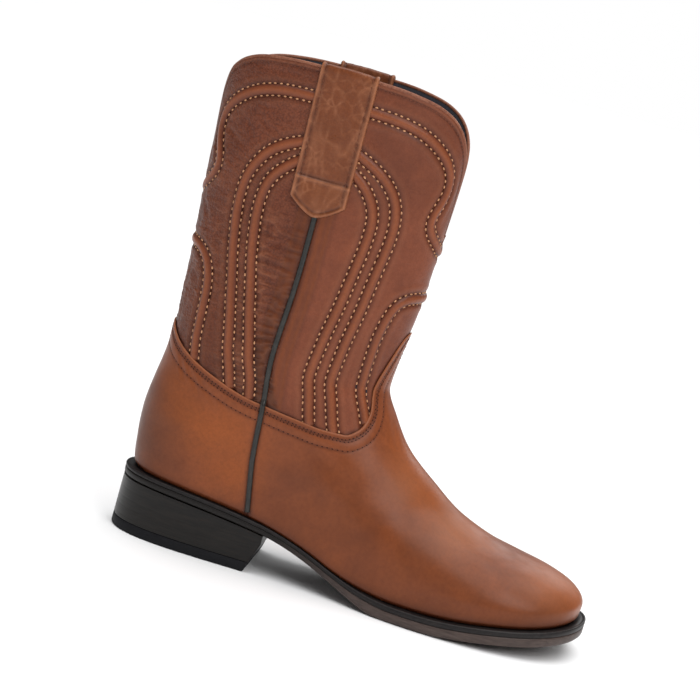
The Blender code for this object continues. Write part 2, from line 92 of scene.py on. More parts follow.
# Pull strap: half angle, half width, height of the tip, cut of its corners, height of the inner end
STRAP_HALF_ANGLE = 13.0
STRAP_HALF_WIDTH = 16.5
STRAP_TIP = 213.0
STRAP_CORNER = 9.5
STRAP_INNER_END = 232.0

# Stations round the boot whose outline gives its middle, the same as in the part's source
RING_EVEN = 56
RING_NOTCHES = (3.2, 176.8, 183.2, 356.8)

# Corded rows: distance of a stitch line from the middle, angle where the strap starts, stitch pitch
ROW_APART = 3.45
STRAP_SIDE = 105.0
STITCH_PITCH = 3.85

# Distance between the stations of a row, and of a line of stitches
ROW_SPACING = 0.8
STITCH_SPACING = 0.5

# Values painted on the points of every leather piece: dark is mostly painted shade in grooves, hollows,
# under edges and near the sole; lift is pale cut edges and crackle veins, and painted highlights on crests
# and on the vamp; warm is orange tone; pebble is the amount of grain; shade is painted shade
MARKS = ("dark", "lift", "warm", "pebble", "shade")

# Sections of the upper, one row per level, from the feather line to the collar.
# A level is a slanted closed ring from a back point to a front point.
# foot: share of the foot's plan shape in the width, arch: share of the seat's curve in the height
SECTION_NAMES = (
    "level", "back_x", "back_z", "front_x", "front_z", "foot", "arch", "outer", "inner",
    "round_back", "round_front",
)
SECTIONS = np.array((
    (0.00, 7.4, 37.5, 285.0, 22.5, 1.00, 1.00, 36.0, 36.0, 6.8, 6.0),
    (0.05, 5.6, 46.0, 285.7, 31.0, 1.00, 0.85, 36.0, 36.0, 6.6, 5.6),
    (0.10, 4.7, 54.0, 279.5, 38.5, 0.90, 0.62, 36.0, 36.0, 6.4, 4.4),
    (0.15, 3.9, 62.0, 267.0, 43.4, 0.72, 0.42, 36.0, 36.0, 6.0, 3.3),
    (0.20, 3.7, 69.0, 250.5, 46.6, 0.55, 0.26, 36.0, 36.0, 5.6, 2.6),
    (0.25, 3.9, 76.0, 229.5, 51.0, 0.38, 0.14, 36.0, 36.0, 5.2, 2.3),
    (0.30, 4.7, 84.0, 205.0, 60.4, 0.24, 0.06, 35.5, 35.5, 4.6, 2.15),
    (0.36, 6.2, 94.0, 183.5, 74.0, 0.12, 0.02, 35.2, 35.2, 3.9, 2.1),
    (0.42, 8.0, 105.0, 163.5, 89.6, 0.04, 0.00, 35.2, 35.2, 3.2, 2.1),
    (0.48, 8.9, 116.0, 149.8, 107.6, 0.00, 0.00, 35.4, 35.4, 2.7, 2.1),
    (0.54, 8.8, 128.0, 141.4, 125.0, 0.00, 0.00, 35.8, 35.8, 2.4, 2.1),
    (0.61, 8.2, 145.0, 143.0, 145.0, 0.00, 0.00, 36.3, 36.3, 2.2, 2.1),
    (0.70, 7.0, 172.0, 147.2, 172.0, 0.00, 0.00, 36.8, 36.8, 2.1, 2.1),
    (0.80, 4.8, 212.0, 149.4, 212.0, 0.00, 0.00, 37.5, 37.5, 2.1, 2.1),
    (0.90, 2.2, 256.0, 151.2, 256.0, 0.00, 0.00, 38.0, 38.0, 2.1, 2.1),
    (1.00, 0.5, 300.0, 152.0, 300.0, 0.00, 0.00, 38.5, 38.5, 2.1, 2.1),
))

# Half widths of the foot on each side of its centre line: x, outer side, inner side
FOOT = np.array((
    (0, 32, 32), (40, 32, 32), (75, 32, 29.5), (100, 33, 26.5), (125, 35, 25), (150, 39, 27),
    (175, 43.5, 32.5), (200, 47, 38.5), (220, 48.5, 42), (240, 49, 44.5), (260, 49, 46), (280, 48.5, 46.5),
    (300, 48, 47),
))

# Height of the top of the welt, and of the underside of the outsole: x, z
SEAT = np.array((
    (0, 38), (40, 36.5), (65, 34.5), (85, 32), (97, 30), (112, 26.3), (128, 21.2), (141, 16.5),
    (155, 12.6), (170, 10.2), (185, 9.5), (205, 9.8), (220, 11), (240, 13.6), (258, 16.2), (275, 19),
    (296, 23.2),
))
UNDERSIDE = np.array((
    (0, 31.5), (40, 30.3), (65, 28.3), (85, 26), (97, 24.2), (112, 20.6), (128, 15.2), (141, 10),
    (155, 4.6), (165, 1.2), (172, 0), (200, 0), (208, 0.35), (220, 1.6), (240, 4.2), (258, 6.8),
    (275, 9.6), (296, 13.8),
))

# How far the welt stands out past the upper, and how thick it is: x, margin, thickness
WELT = np.array((
    (0, 6.6, 2.0), (9, 6.0, 2.0), (25, 4.6, 2.0), (45, 3.8, 2.0), (80, 3.2, 2.0), (110, 1.8, 2.0),
    (140, 2.0, 2.2), (160, 4.0, 2.8), (180, 5.8, 3.2), (210, 6.4, 3.2), (300, 6.4, 3.2),
))

# Top edge of the vamp and the counter, on one side: angle, height
PANEL_EDGE = np.array((
    (0, 129), (10, 127.5), (20, 123.5), (32, 118), (46, 112), (60, 106.5), (75, 101), (88, 98.5),
    (100, 96.5), (112, 94.8), (122, 94.8), (130, 97.6), (137, 101.8), (143, 107), (148, 112.8),
    (152, 119.5), (156, 129.5), (163, 145.5), (168, 154.5), (180, 159.5),
))

# Top edge of the shaft measured from the middle of the front or of the back: angle, height
COLLAR_FRONT = np.array((
    (0, 219), (2, 236), (4.5, 253), (8, 262), (13, 269), (22, 278), (31.5, 285), (43, 290.5), (60, 294.5),
    (90, 296.5),
))
COLLAR_BACK = np.array((
    (0, 219), (2, 236), (4.5, 253), (8, 264), (12, 271.5), (19, 280), (28, 286), (41, 291.5), (61, 295.3),
    (90, 296.5),
))

# Side seam from the tip of the strap to the sole: angle, height
SEAM = np.array((
    (90.5, 209), (90.3, 187), (90, 161), (89.3, 131), (84.3, 101), (76, 79), (69.5, 66), (65.5, 57),
    (63.5, 45), (63.5, 35.5),
))

# Corded rows on the outer side, from the strap down: angle, height
# Back rows are given as 180 less their angle
OUTER_ARCH_FRONT = np.array((
    (105, 253.3), (112, 249.3), (119, 243.8), (125, 236.3), (128.5, 226), (129, 216), (127.5, 202),
    (125.5, 186), (124.3, 165), (123.5, 150), (122.8, 136), (121, 122), (116.5, 104),
))
OUTER_ARCH_BACK = np.array((
    (105, 252.5), (112.5, 248), (118, 243.5), (123, 236), (127, 228.5), (129, 219), (129.5, 209),
    (128.6, 197), (126.5, 183), (123.5, 169), (120, 154), (115.5, 134), (113, 117), (112.8, 104),
))
INNER_ARCH_FRONT = np.array((
    (105, 241.8), (109, 238.2), (113, 232.5), (116, 227), (117.2, 219), (116.8, 207), (114.8, 190),
    (113, 170), (111.6, 150), (110.4, 134), (108.6, 120.5), (104.5, 104),
))
INNER_ARCH_BACK = np.array((
    (105, 240.5), (110, 235.3), (114.5, 229.5), (117, 221), (117.6, 210), (117, 199), (114.8, 184),
    (112, 171), (108.5, 156), (104.5, 141), (102, 129), (101.6, 117), (103.5, 107),
))
SMALL_ARCH_FRONT = np.array((
    (180, 181.5), (164, 181), (152, 180), (146, 177), (142.5, 171), (141.5, 160), (142.3, 148),
    (143.2, 135), (142.3, 124), (140, 114),
))
SMALL_ARCH_BACK = np.array((
    (180, 179), (160, 178.5), (148, 176), (141, 169), (138, 160), (137.5, 147), (136.8, 134), (135.8, 122),
))
COLLAR_ROW = np.array((
    (105, 279.5), (118, 278.5), (133, 274), (147, 265.5), (156, 257), (159, 248), (156, 238), (151, 229),
    (152, 222), (160, 217), (170, 212), (180, 208),
))


def blend_through(stops: Array, values: Array, at: Array) -> Array:
    """Monotone cubic through a table: between two stops the curve is the Hermite cubic whose end slopes are
    weighted means of the neighbouring slopes, cut so that it never swings past a stop.

    Args:
        stops: Rising positions of the table's rows.
        values: One value for each stop.
        at: Positions to evaluate, of any shape.

    Returns:
        The values, in the shape of at.
    """
    stops = np.asarray(stops, float)
    values = np.asarray(values, float)
    at = np.clip(np.asarray(at, float), stops[0], stops[-1])
    run = np.diff(stops)
    rise = np.diff(values) / run
    slope = np.zeros_like(values)
    mean = (rise[:-1] * run[1:] + rise[1:] * run[:-1]) / (run[:-1] + run[1:])
    limit = 3.0 * np.minimum(np.abs(rise[:-1]), np.abs(rise[1:]))
    slope[1:-1] = np.where(rise[:-1] * rise[1:] > 0, np.sign(mean) * np.minimum(np.abs(mean), limit), 0.0)
    slope[0], slope[-1] = rise[0], rise[-1]
    i = np.clip(np.searchsorted(stops, at, side="right") - 1, 0, len(stops) - 2)
    h = run[i]
    t = (at - stops[i]) / h
    low = (2 * t**3 - 3 * t**2 + 1) * values[i] + (t**3 - 2 * t**2 + t) * h * slope[i]
    return low + (3 * t**2 - 2 * t**3) * values[i + 1] + (t**3 - t**2) * h * slope[i + 1]


def ease(t: Array) -> Array:
    """Smooth step from 0 to 1: three t squared less two t cubed, with t held to 0..1."""
    t = np.clip(t, 0.0, 1.0)
    return t * t * (3.0 - 2.0 * t)


def bell(distance: Array, width: float) -> Array:
    """Soft hill of height 1: e to the minus (distance over width) squared."""
    return np.exp(-((distance / width) ** 2))


def unit(vectors: Array) -> Array:
    """Vectors scaled to length 1."""
    return vectors / np.maximum(np.linalg.norm(vectors, axis=-1, keepdims=True), 1e-9)


def cloud(u: Array, v: Array, seed: int) -> Array:
    """Smooth value noise in -1..1: random heights on a 64 by 64 lattice of unit cells, eased between
    the four corners of the cell that holds (u, v).

    Args:
        u: First coordinate, in cells.
        v: Second coordinate, in cells.
        seed: Seed of the lattice.

    Returns:
        Heights, in the shape of u.
    """
    grid = np.random.default_rng(seed).uniform(-1.0, 1.0, (64, 64))
    iu, iv = np.floor(u).astype(int), np.floor(v).astype(int)
    a, b = ease(u - iu), ease(v - iv)
    iu, iv, ju, jv = iu % 64, iv % 64, (iu + 1) % 64, (iv + 1) % 64
    near = grid[iu, iv] * (1 - a) + grid[ju, iv] * a
    return near * (1 - b) + (grid[iu, jv] * (1 - a) + grid[ju, jv] * a) * b


def deepen(values: Array, found: Array, amount: Array) -> None:
    """Raises the found values to at least an amount."""
    values[found] = np.maximum(values[found], amount)


def softened(values: Array, weight: Array) -> Array:
    """Weighted running mean. Both ends are first carried on by turning the line about its end value.

    Args:
        values: Even samples of a line.
        weight: Weights of the mean, an odd number of them.

    Returns:
        The smoothed line, of the same length and with the same ends.
    """
    reach = len(weight) // 2
    before = 2.0 * values[0] - values[reach:0:-1]
    after = 2.0 * values[-1] - values[-2 : -reach - 2 : -1]
    return np.convolve(np.concatenate([before, values, after]), weight / weight.sum(), mode="valid")


class Last:
    """The boot's leather surface: the same section table and rules as the part's source."""

    def section(self, name: str, level: Array) -> Array:
        """One named column of the section table at any level."""
        return blend_through(SECTIONS[:, 0], SECTIONS[:, SECTION_NAMES.index(name)], level)

    def seat(self, x: Array) -> Array:
        """Height of the top of the welt."""
        return blend_through(SEAT[:, 0], SEAT[:, 1], x)

    def underside(self, x: Array) -> Array:
        """Height of the underside of the outsole."""
        return blend_through(UNDERSIDE[:, 0], UNDERSIDE[:, 1], x)

    def welt_margin(self, x: Array) -> Array:
        """How far the welt stands out past the upper."""
        return blend_through(WELT[:, 0], WELT[:, 1], x)

    def welt_thickness(self, x: Array) -> Array:
        """Thickness of the welt."""
        return blend_through(WELT[:, 0], WELT[:, 2], x)

    def height(self, level: Array, angle: Array) -> Array:
        """Height of the surface: back and front mixed by (1 - cos angle) / 2, plus the seat's curve."""
        along = (1.0 - np.cos(np.radians(angle))) / 2.0
        low_x = SECTIONS[0, 1] + (SECTIONS[0, 3] - SECTIONS[0, 1]) * along
        low_line = SECTIONS[0, 2] + (SECTIONS[0, 4] - SECTIONS[0, 2]) * along
        back = self.section("back_z", level)
        z = back + (self.section("front_z", level) - back) * along
        return z + self.section("arch", level) * (self.seat(low_x) - low_line) + GAP

    def swing(self, x: Array) -> Array:
        """How far the middle line of the foot has swung to the inner side."""
        return TOE_SWING * ease((x - SWING_START) / SWING_LENGTH)

    def body(self, level: Array, angle: Array) -> Array:
        """Point of the leather surface. The half width is the foot's plan shape mixed with the shaft's,
        times the reach of a superellipse, (1 - |cos angle| to a power) to one half.

        Args:
            level: 0 at the sole to 1 at the collar.
            angle: Degrees round the boot.

        Returns:
            Points, with a last axis of x, y and z.
        """
        level, angle = np.broadcast_arrays(np.asarray(level, float), np.asarray(angle, float))
        turn = np.radians(angle)
        cosine = np.cos(turn)
        back_x = self.section("back_x", level)
        x = back_x + (self.section("front_x", level) - back_x) * (1.0 - cosine) / 2.0
        power = np.where(cosine > 0, self.section("round_back", level), self.section("round_front", level))
        reach = np.sqrt(np.clip(1.0 - np.abs(cosine) ** power, 0.0, 1.0))
        foot = self.section("foot", level)
        halves = []
        for column, name in ((1, "outer"), (2, "inner")):
            plan = blend_through(FOOT[:, 0], FOOT[:, column], x)
            halves.append(foot * plan + (1.0 - foot) * self.section(name, level))
        y = self.swing(x) + np.where(np.sin(turn) >= 0, -halves[0], halves[1]) * reach
        return np.stack([x, y, self.height(level, angle)], axis=-1)

    def outward(self, level: Array, angle: Array) -> Array:
        """Unit normal, away from the foot: the way round crossed with the way up."""
        above, under = np.minimum(level + 0.004, 1.0), np.maximum(level - 0.004, 0.0)
        rise = self.body(above, angle) - self.body(under, angle)
        run = self.body(level, angle + 0.5) - self.body(level, angle - 0.5)
        return unit(np.cross(run, rise))

    def raised(self, level: Array, angle: Array, offset: Array) -> Array:
        """Surface point moved out along its normal."""
        return self.body(level, angle) + self.outward(level, angle) * np.asarray(offset, float)[..., None]

    def level_at(self, angle: Array, height: Array) -> Array:
        """The level with a height at an angle, found by halving the range 24 times.

        Args:
            angle: Degrees round the boot.
            height: Height above the floor.

        Returns:
            Levels, in the shape of angle and height together.
        """
        angle, height = np.broadcast_arrays(np.asarray(angle, float), np.asarray(height, float))
        low, high = np.zeros(angle.shape), np.ones(angle.shape)
        for _ in range(24):
            middle = (low + high) / 2.0
            under = self.height(middle, angle) < height
            low, high = np.where(under, middle, low), np.where(under, high, middle)
        return (low + high) / 2.0

    def fold(self, angle: Array) -> Array:
        """Any angle as the matching angle of the outer half, 0 to 180."""
        return np.degrees(np.arccos(np.clip(np.cos(np.radians(angle)), -1.0, 1.0)))

    def panel_height(self, angle: Array) -> Array:
        """Height of the top edge of the vamp or the counter."""
        return blend_through(PANEL_EDGE[:, 0], PANEL_EDGE[:, 1], self.fold(angle))

    def collar_height(self, angle: Array) -> Array:
        """Height of the top edge of the shaft."""
        side = self.fold(angle)
        front = blend_through(COLLAR_FRONT[:, 0], COLLAR_FRONT[:, 1], np.minimum(180.0 - side, 90.0))
        back = blend_through(COLLAR_BACK[:, 0], COLLAR_BACK[:, 1], np.minimum(side, 90.0))
        return np.where(side > 90.0, front, back)

    def seam_angle(self, height: Array) -> Array:
        """Angle of the side seam at a height, on the outer side."""
        return np.interp(height, SEAM_LINE[::-1, 1], SEAM_LINE[::-1, 0])

    def plan_ring(self, angles: Array, offset: Array | float) -> Array:
        """The feather line moved outwards in plan, as x and y.

        Args:
            angles: Stations round the boot.
            offset: How far, one number or one for each station.

        Returns:
            Plan points, one row for each station.
        """
        here = self.body(0.0, angles)
        run = unit((self.body(0.0, angles + 0.3) - self.body(0.0, angles - 0.3))[:, :2])
        side = np.stack([run[:, 1], -run[:, 0]], axis=1)
        return here[:, :2] + side * np.broadcast_to(offset, (len(angles),))[:, None]

    def middle(self) -> Array:
        """The point at the world origin: the middle of the sole's bounding box, on the floor."""
        even = np.arange(RING_EVEN) * 360.0 / RING_EVEN
        angles = np.sort(np.concatenate([even, RING_NOTCHES]))
        outline = self.plan_ring(angles, self.welt_margin(self.body(0.0, angles)[:, 0]))
        centre = (outline.min(axis=0) + outline.max(axis=0)) / 2.0
        return np.array([centre[0], centre[1], 0.0])

    def rim_frame(self, angles: Array) -> tuple[Array, Array, Array]:
        """Frame on the collar's edge."""
        rim = self.level_at(angles, self.collar_height(angles))
        normal = self.outward(rim, angles)
        here = self.body(rim, angles) - normal * WALL / 2.0
        ends = []
        for turn in (1.5, -1.5):
            near = self.level_at(angles + turn, self.collar_height(angles + turn))
            ends.append(self.raised(near, angles + turn, np.full(angles.shape, -WALL / 2.0)))
        past = unit(np.cross(unit(ends[0] - ends[1]), normal))
        return here, normal, past * np.sign(past[:, 2:3])


LAST = Last()
MIDDLE = LAST.middle()


def straight_seam() -> Array:
    """Side seam as fine rows of angle and height. The table's x against height is smoothed with a
    weighted mean that reaches 28 mm each way, and the angle with that x is found by halving 20 times.

    Returns:
        Angles and heights from the top down.
    """
    height = np.linspace(216.0, 35.5, 362)
    angle = blend_through(SEAM[::-1, 1], SEAM[::-1, 0], height)
    x = softened(LAST.body(LAST.level_at(angle, height), angle)[:, 0], np.hanning(113))
    low, high = angle - 14.0, angle + 14.0
    for _ in range(20):
        middle = (low + high) / 2.0
        behind = LAST.body(LAST.level_at(middle, height), middle)[:, 0] < x
        low, high = np.where(behind, middle, low), np.where(behind, high, middle)
    return np.column_stack([(low + high) / 2.0, height])


SEAM_LINE = straight_seam()


@dataclass
class Row:
    """A line on the leather, as even stations with a frame at each.

    Args:
        angle: Angle of each station.
        level: Level of each station.
    """

    angle: Array
    level: Array

    def __post_init__(self) -> None:
        """Works out points, normals, the way along, the way sideways and the length so far."""
        self.point = LAST.body(self.level, self.angle)
        self.normal = LAST.outward(self.level, self.angle)
        self.run = unit(np.gradient(self.point, axis=0))
        self.side = unit(np.cross(self.run, self.normal))
        steps = np.linalg.norm(np.diff(self.point, axis=0), axis=1)
        self.length = np.concatenate(([0.0], np.cumsum(steps)))

    @classmethod
    def traced(cls, angles: Array, heights: Array, spacing: float, smooth: float = 14.0) -> "Row":
        """A smooth row through a table of angles and heights.

        Args:
            angles: Angle of each table row.
            heights: Height of each table row.
            spacing: Distance between stations.
            smooth: Half width, in millimetres, of the weighted mean that rounds the table's corners.

        Returns:
            The row, evenly spaced.
        """
        stops = np.linspace(0.0, 1.0, len(angles))
        fine = np.linspace(0.0, 1.0, 700)
        a, h = blend_through(stops, angles, fine), blend_through(stops, heights, fine)
        line = cls(a, LAST.level_at(a, h)).even(0.4)
        reach = int(min(smooth / 0.4, len(line.angle) / 6))
        if reach > 1:
            weight = np.hanning(2 * reach + 1)
            line = cls(softened(line.angle, weight), softened(line.level, weight))
        return line.even(spacing)

    def even(self, spacing: float) -> "Row":
        """The same line with stations a given distance apart."""
        count = max(int(self.length[-1] / spacing), 3) + 1
        at = np.linspace(0.0, self.length[-1], count)
        return Row(np.interp(at, self.length, self.angle), np.interp(at, self.length, self.level))

    def beside(self, distance: Array | float, spacing: float = 1.0) -> "Row":
        """The line moved sideways over the surface. The step in angle and level is the least-squares
        solution of angle slope times its step plus level slope times its step equals side times distance.

        Args:
            distance: How far, towards the side vector, one number or one for each station.
            spacing: Distance between the new stations.

        Returns:
            The new line, evenly spaced.
        """
        way_a = LAST.body(self.level, self.angle + 0.5) - LAST.body(self.level, self.angle - 0.5)
        above, under = LAST.body(self.level + 0.004, self.angle), LAST.body(self.level - 0.004, self.angle)
        way_l = (above - under) / 0.008
        aim = self.side * np.broadcast_to(distance, self.angle.shape)[:, None]
        aa, al, ll = (way_a * way_a).sum(1), (way_a * way_l).sum(1), (way_l * way_l).sum(1)
        ra, rl = (aim * way_a).sum(1), (aim * way_l).sum(1)
        scale = aa * ll - al * al
        moved = Row(self.angle + (ra * ll - rl * al) / scale, self.level + (rl * aa - ra * al) / scale)
        return moved.even(spacing)

    def moved(self, side: Array, high: Array) -> Array:
        """A loop of points round each station: station plus side vector times side plus normal times high.

        Args:
            side: Distance to the side, as stations by points of the loop.
            high: Distance out of the surface, likewise.

        Returns:
            Points, as stations by points of the loop by x, y and z.
        """
        aside = self.side[:, None] * side[..., None]
        return self.point[:, None] + aside + self.normal[:, None] * high[..., None]

    def near(self, points: Array,
             reach: float) -> tuple[Array, Array, Array, Array]:
        """Finds the points within reach of the line. Each point goes to its nearest station; stations
        are taken 24 at a time, and only points inside their bounding box are measured.

        Args:
            points: Points as rows of x, y and z.
            reach: How far to look.

        Returns:
            Point numbers, signed distance to the side, distance along the line and plain distance.
        """
        best = np.full(len(points), reach * reach)
        station = np.full(len(points), -1)
        for start in range(0, len(self.point), 24):
            part = self.point[start : start + 24]
            low, high = part.min(axis=0) - reach, part.max(axis=0) + reach
            found = np.nonzero(((points > low) & (points < high)).all(axis=1))[0]
            if len(found) == 0:
                continue
            away = ((points[found][:, None] - part[None]) ** 2).sum(axis=2)
            closest = away.argmin(axis=1)
            away = away[np.arange(len(found)), closest]
            better = away < best[found]
            best[found[better]] = away[better]
            station[found[better]] = closest[better] + start
        found = np.nonzero(station >= 0)[0]
        nearest = station[found]
        gap = points[found] - self.point[nearest]
        across = (gap * self.side[nearest]).sum(axis=1)
        along = (gap * self.run[nearest]).sum(axis=1)
        past = np.where((nearest == 0) | (nearest == len(self.point) - 1), np.abs(along), 0.0)
        return found, across, self.length[nearest] + along, np.hypot(across, past)


class Panel(Enum):
    """Which half of the upper a row or a panel belongs to."""

    FRONT = "front"
    BACK = "back"


class Side(Enum):
    """Which side of the foot a piece is on."""

    LATERAL = "lateral"
    MEDIAL = "medial"


def placed(table: Array, panel: Panel, side: Side) -> tuple[Array, Array]:
    """Angles and heights of a table turned to its panel and side. A row that starts beside the strap
    is carried on under it, by 5 degrees along its first slope.

    Args:
        table: Angles and heights on the outer side, for the front.
        panel: Which half it is for.
        side: Which side of the foot it is for.

    Returns:
        Angles and heights.
    """
    angles, heights = table[:, 0].astype(float), table[:, 1].astype(float)
    if angles[0] == STRAP_SIDE:
        slope = (heights[0] - heights[1]) / (angles[1] - angles[0])
        angles = np.concatenate([[STRAP_SIDE - 5.0], angles])
        heights = np.concatenate([[heights[0] + 4.0 * slope], heights])
    angles = angles if panel is Panel.FRONT else 180.0 - angles
    return (angles if side is Side.LATERAL else 360.0 - angles), heights


def to_edge(angles: Array, heights: Array, room: float) -> Array:
    """Heights stretched so that the last one stops at a distance above the vamp's or the counter's edge."""
    low = LAST.panel_height(angles[-1]) + room
    top = heights.max()
    return top - (top - heights) * (top - low) / (top - heights[-1])


def corded_rows() -> dict[str, Row]:
    """Centre lines of the twelve corded rows, by the name of their node."""
    tables = {
        Panel.FRONT: (OUTER_ARCH_FRONT, INNER_ARCH_FRONT, SMALL_ARCH_FRONT),
        Panel.BACK: (OUTER_ARCH_BACK, INNER_ARCH_BACK, SMALL_ARCH_BACK),
    }
    rows = {}
    for panel, (outer, inner, small) in tables.items():
        for side in Side:
            for word, table in (("outer", outer), ("inner", inner)):
                angles, heights = placed(table, panel, side)
                name = f"cord_{word}_{panel.value}_{side.value}"
                rows[name] = Row.traced(angles, to_edge(angles, heights, -1.0), ROW_SPACING)
        middle = 180.0 if panel is Panel.FRONT else 0.0
        for word, table in (("small_arch", small), ("collar", COLLAR_ROW)):
            angles, heights = placed(table, panel, Side.LATERAL)
            if word == "small_arch":
                heights = to_edge(angles, heights, -1.0)
            else:
                angles, heights = angles[::-1], heights[::-1]
            angles = np.concatenate([angles[::-1], 2.0 * middle - angles[1:]])
            heights = np.concatenate([heights[::-1], heights[1:]])
            rows[f"cord_{word}_{panel.value}"] = Row.traced(angles, heights, ROW_SPACING)
    return rows


def linear(colour: tuple[int, int, int]) -> tuple[float, float, float, float]:
    """An 0..255 screen colour as linear light: ((c / 255 + 0.055) / 1.055) to the power 2.4."""
    parts = [((c / 255.0 + 0.055) / 1.055) ** 2.4 if c > 10 else c / 255.0 / 12.92 for c in colour]
    return (parts[0], parts[1], parts[2], 1.0)


class Plan:
    """A material under construction: a node tree with a few short ways to add to it."""

    def __init__(self, name: str) -> None:
        """Starts a material with a Principled shader.

        Args:
            name: Name of the material.
        """
        self.material = bpy.data.materials.new(name)
        self.material.use_nodes = True
        self.tree = self.material.node_tree
        self.shader = self.tree.nodes["Principled BSDF"]
        self.place = self.node("ShaderNodeTexCoord").outputs["Object"]

    def node(self, kind: str, **settings: object) -> Node:
        """Adds a node. A setting names a property or an input, and an output given as a value is linked.

        Args:
            kind: Type name of the node.
            settings: Properties and inputs, with spaces in input names written as underscores.

        Returns:
            The node.
        """
        made = self.tree.nodes.new(kind)
        for key, value in settings.items():
            socket = key.replace("_", " ")
            if hasattr(made, key):
                setattr(made, key, value)
            elif isinstance(value, NodeSocket):
                self.tree.links.new(value, made.inputs[socket])
            else:
                made.inputs[socket].default_value = value
        return made

    def noise(self, scale: float, detail: float = 4.0, rough: float = 0.55,
              twist: float = 0.0) -> NodeSocket:
        """Noise of a scale in cells a metre, as a value of about 0 to 1."""
        made = self.node("ShaderNodeTexNoise", Vector=self.place, Scale=scale, Detail=detail,
                         Roughness=rough, Distortion=twist)
        return made.outputs["Fac"]

    def cells(self, scale: float, edges: bool) -> NodeSocket:
        """Distance in a cell pattern: from the cell's middle, or from its edge."""
        feature = "DISTANCE_TO_EDGE" if edges else "F1"
        made = self.node("ShaderNodeTexVoronoi", feature=feature, Vector=self.place, Scale=scale)
        return made.outputs["Distance"]

    def spread(self, value: NodeSocket, low: float, high: float, to_low: float = 0.0,
               to_high: float = 1.0) -> NodeSocket:
        """A value mapped from one range to another, held to the ends."""
        made = self.node("ShaderNodeMapRange", Value=value)
        for name, number in zip(("From Min", "From Max", "To Min", "To Max"), (low, high, to_low, to_high)):
            made.inputs[name].default_value = number
        return made.outputs["Result"]

    def maths(self, rule: str, first: object, second: object) -> NodeSocket:
        """Two values joined by a rule, such as MULTIPLY."""
        made = self.node("ShaderNodeMath", operation=rule)
        for slot, value in enumerate((first, second)):
            if isinstance(value, NodeSocket):
                self.tree.links.new(value, made.inputs[slot])
            else:
                made.inputs[slot].default_value = value
        return made.outputs[0]

    def mark(self, name: str) -> NodeSocket:
        """A value painted on the mesh's points."""
        return self.node("ShaderNodeAttribute", attribute_name=name).outputs["Fac"]

    def blend(self, share: NodeSocket, first: object, second: object) -> NodeSocket:
        """Two colours mixed by a share."""
        made = self.node("ShaderNodeMix", data_type="RGBA")
        self.tree.links.new(share, made.inputs[0])
        for slot, value in ((6, first), (7, second)):
            if isinstance(value, NodeSocket):
                self.tree.links.new(value, made.inputs[slot])
            else:
                made.inputs[slot].default_value = value
        return made.outputs[2]

    def dent(self, height: NodeSocket, depth: float, strength: float,
             under: NodeSocket | None = None) -> NodeSocket:
        """A bump in millimetres from a height value."""
        made = self.node("ShaderNodeBump", Height=height, Distance=depth * MM, Strength=strength)
        if under is not None:
            self.tree.links.new(under, made.inputs["Normal"])
        return made.outputs["Normal"]

    def close(self, colour: object, rough: object, normal: NodeSocket, coat: float,
              coat_rough: float) -> Material:
        """Joins the parts to the shader.

        Args:
            colour: Base colour, a socket or a constant.
            rough: Roughness, a socket or a constant.
            normal: Bumped normal.
            coat: Weight of the clear coat.
            coat_rough: Roughness of the clear coat.

        Returns:
            The finished material.
        """
        for name, value in (("Base Color", colour), ("Roughness", rough), ("Normal", normal)):
            if isinstance(value, NodeSocket):
                self.tree.links.new(value, self.shader.inputs[name])
            else:
                self.shader.inputs[name].default_value = value
        self.shader.inputs["Specular IOR Level"].default_value = 0.2
        self.shader.inputs["Coat Weight"].default_value = coat
        self.shader.inputs["Coat Roughness"].default_value = coat_rough
        return self.material


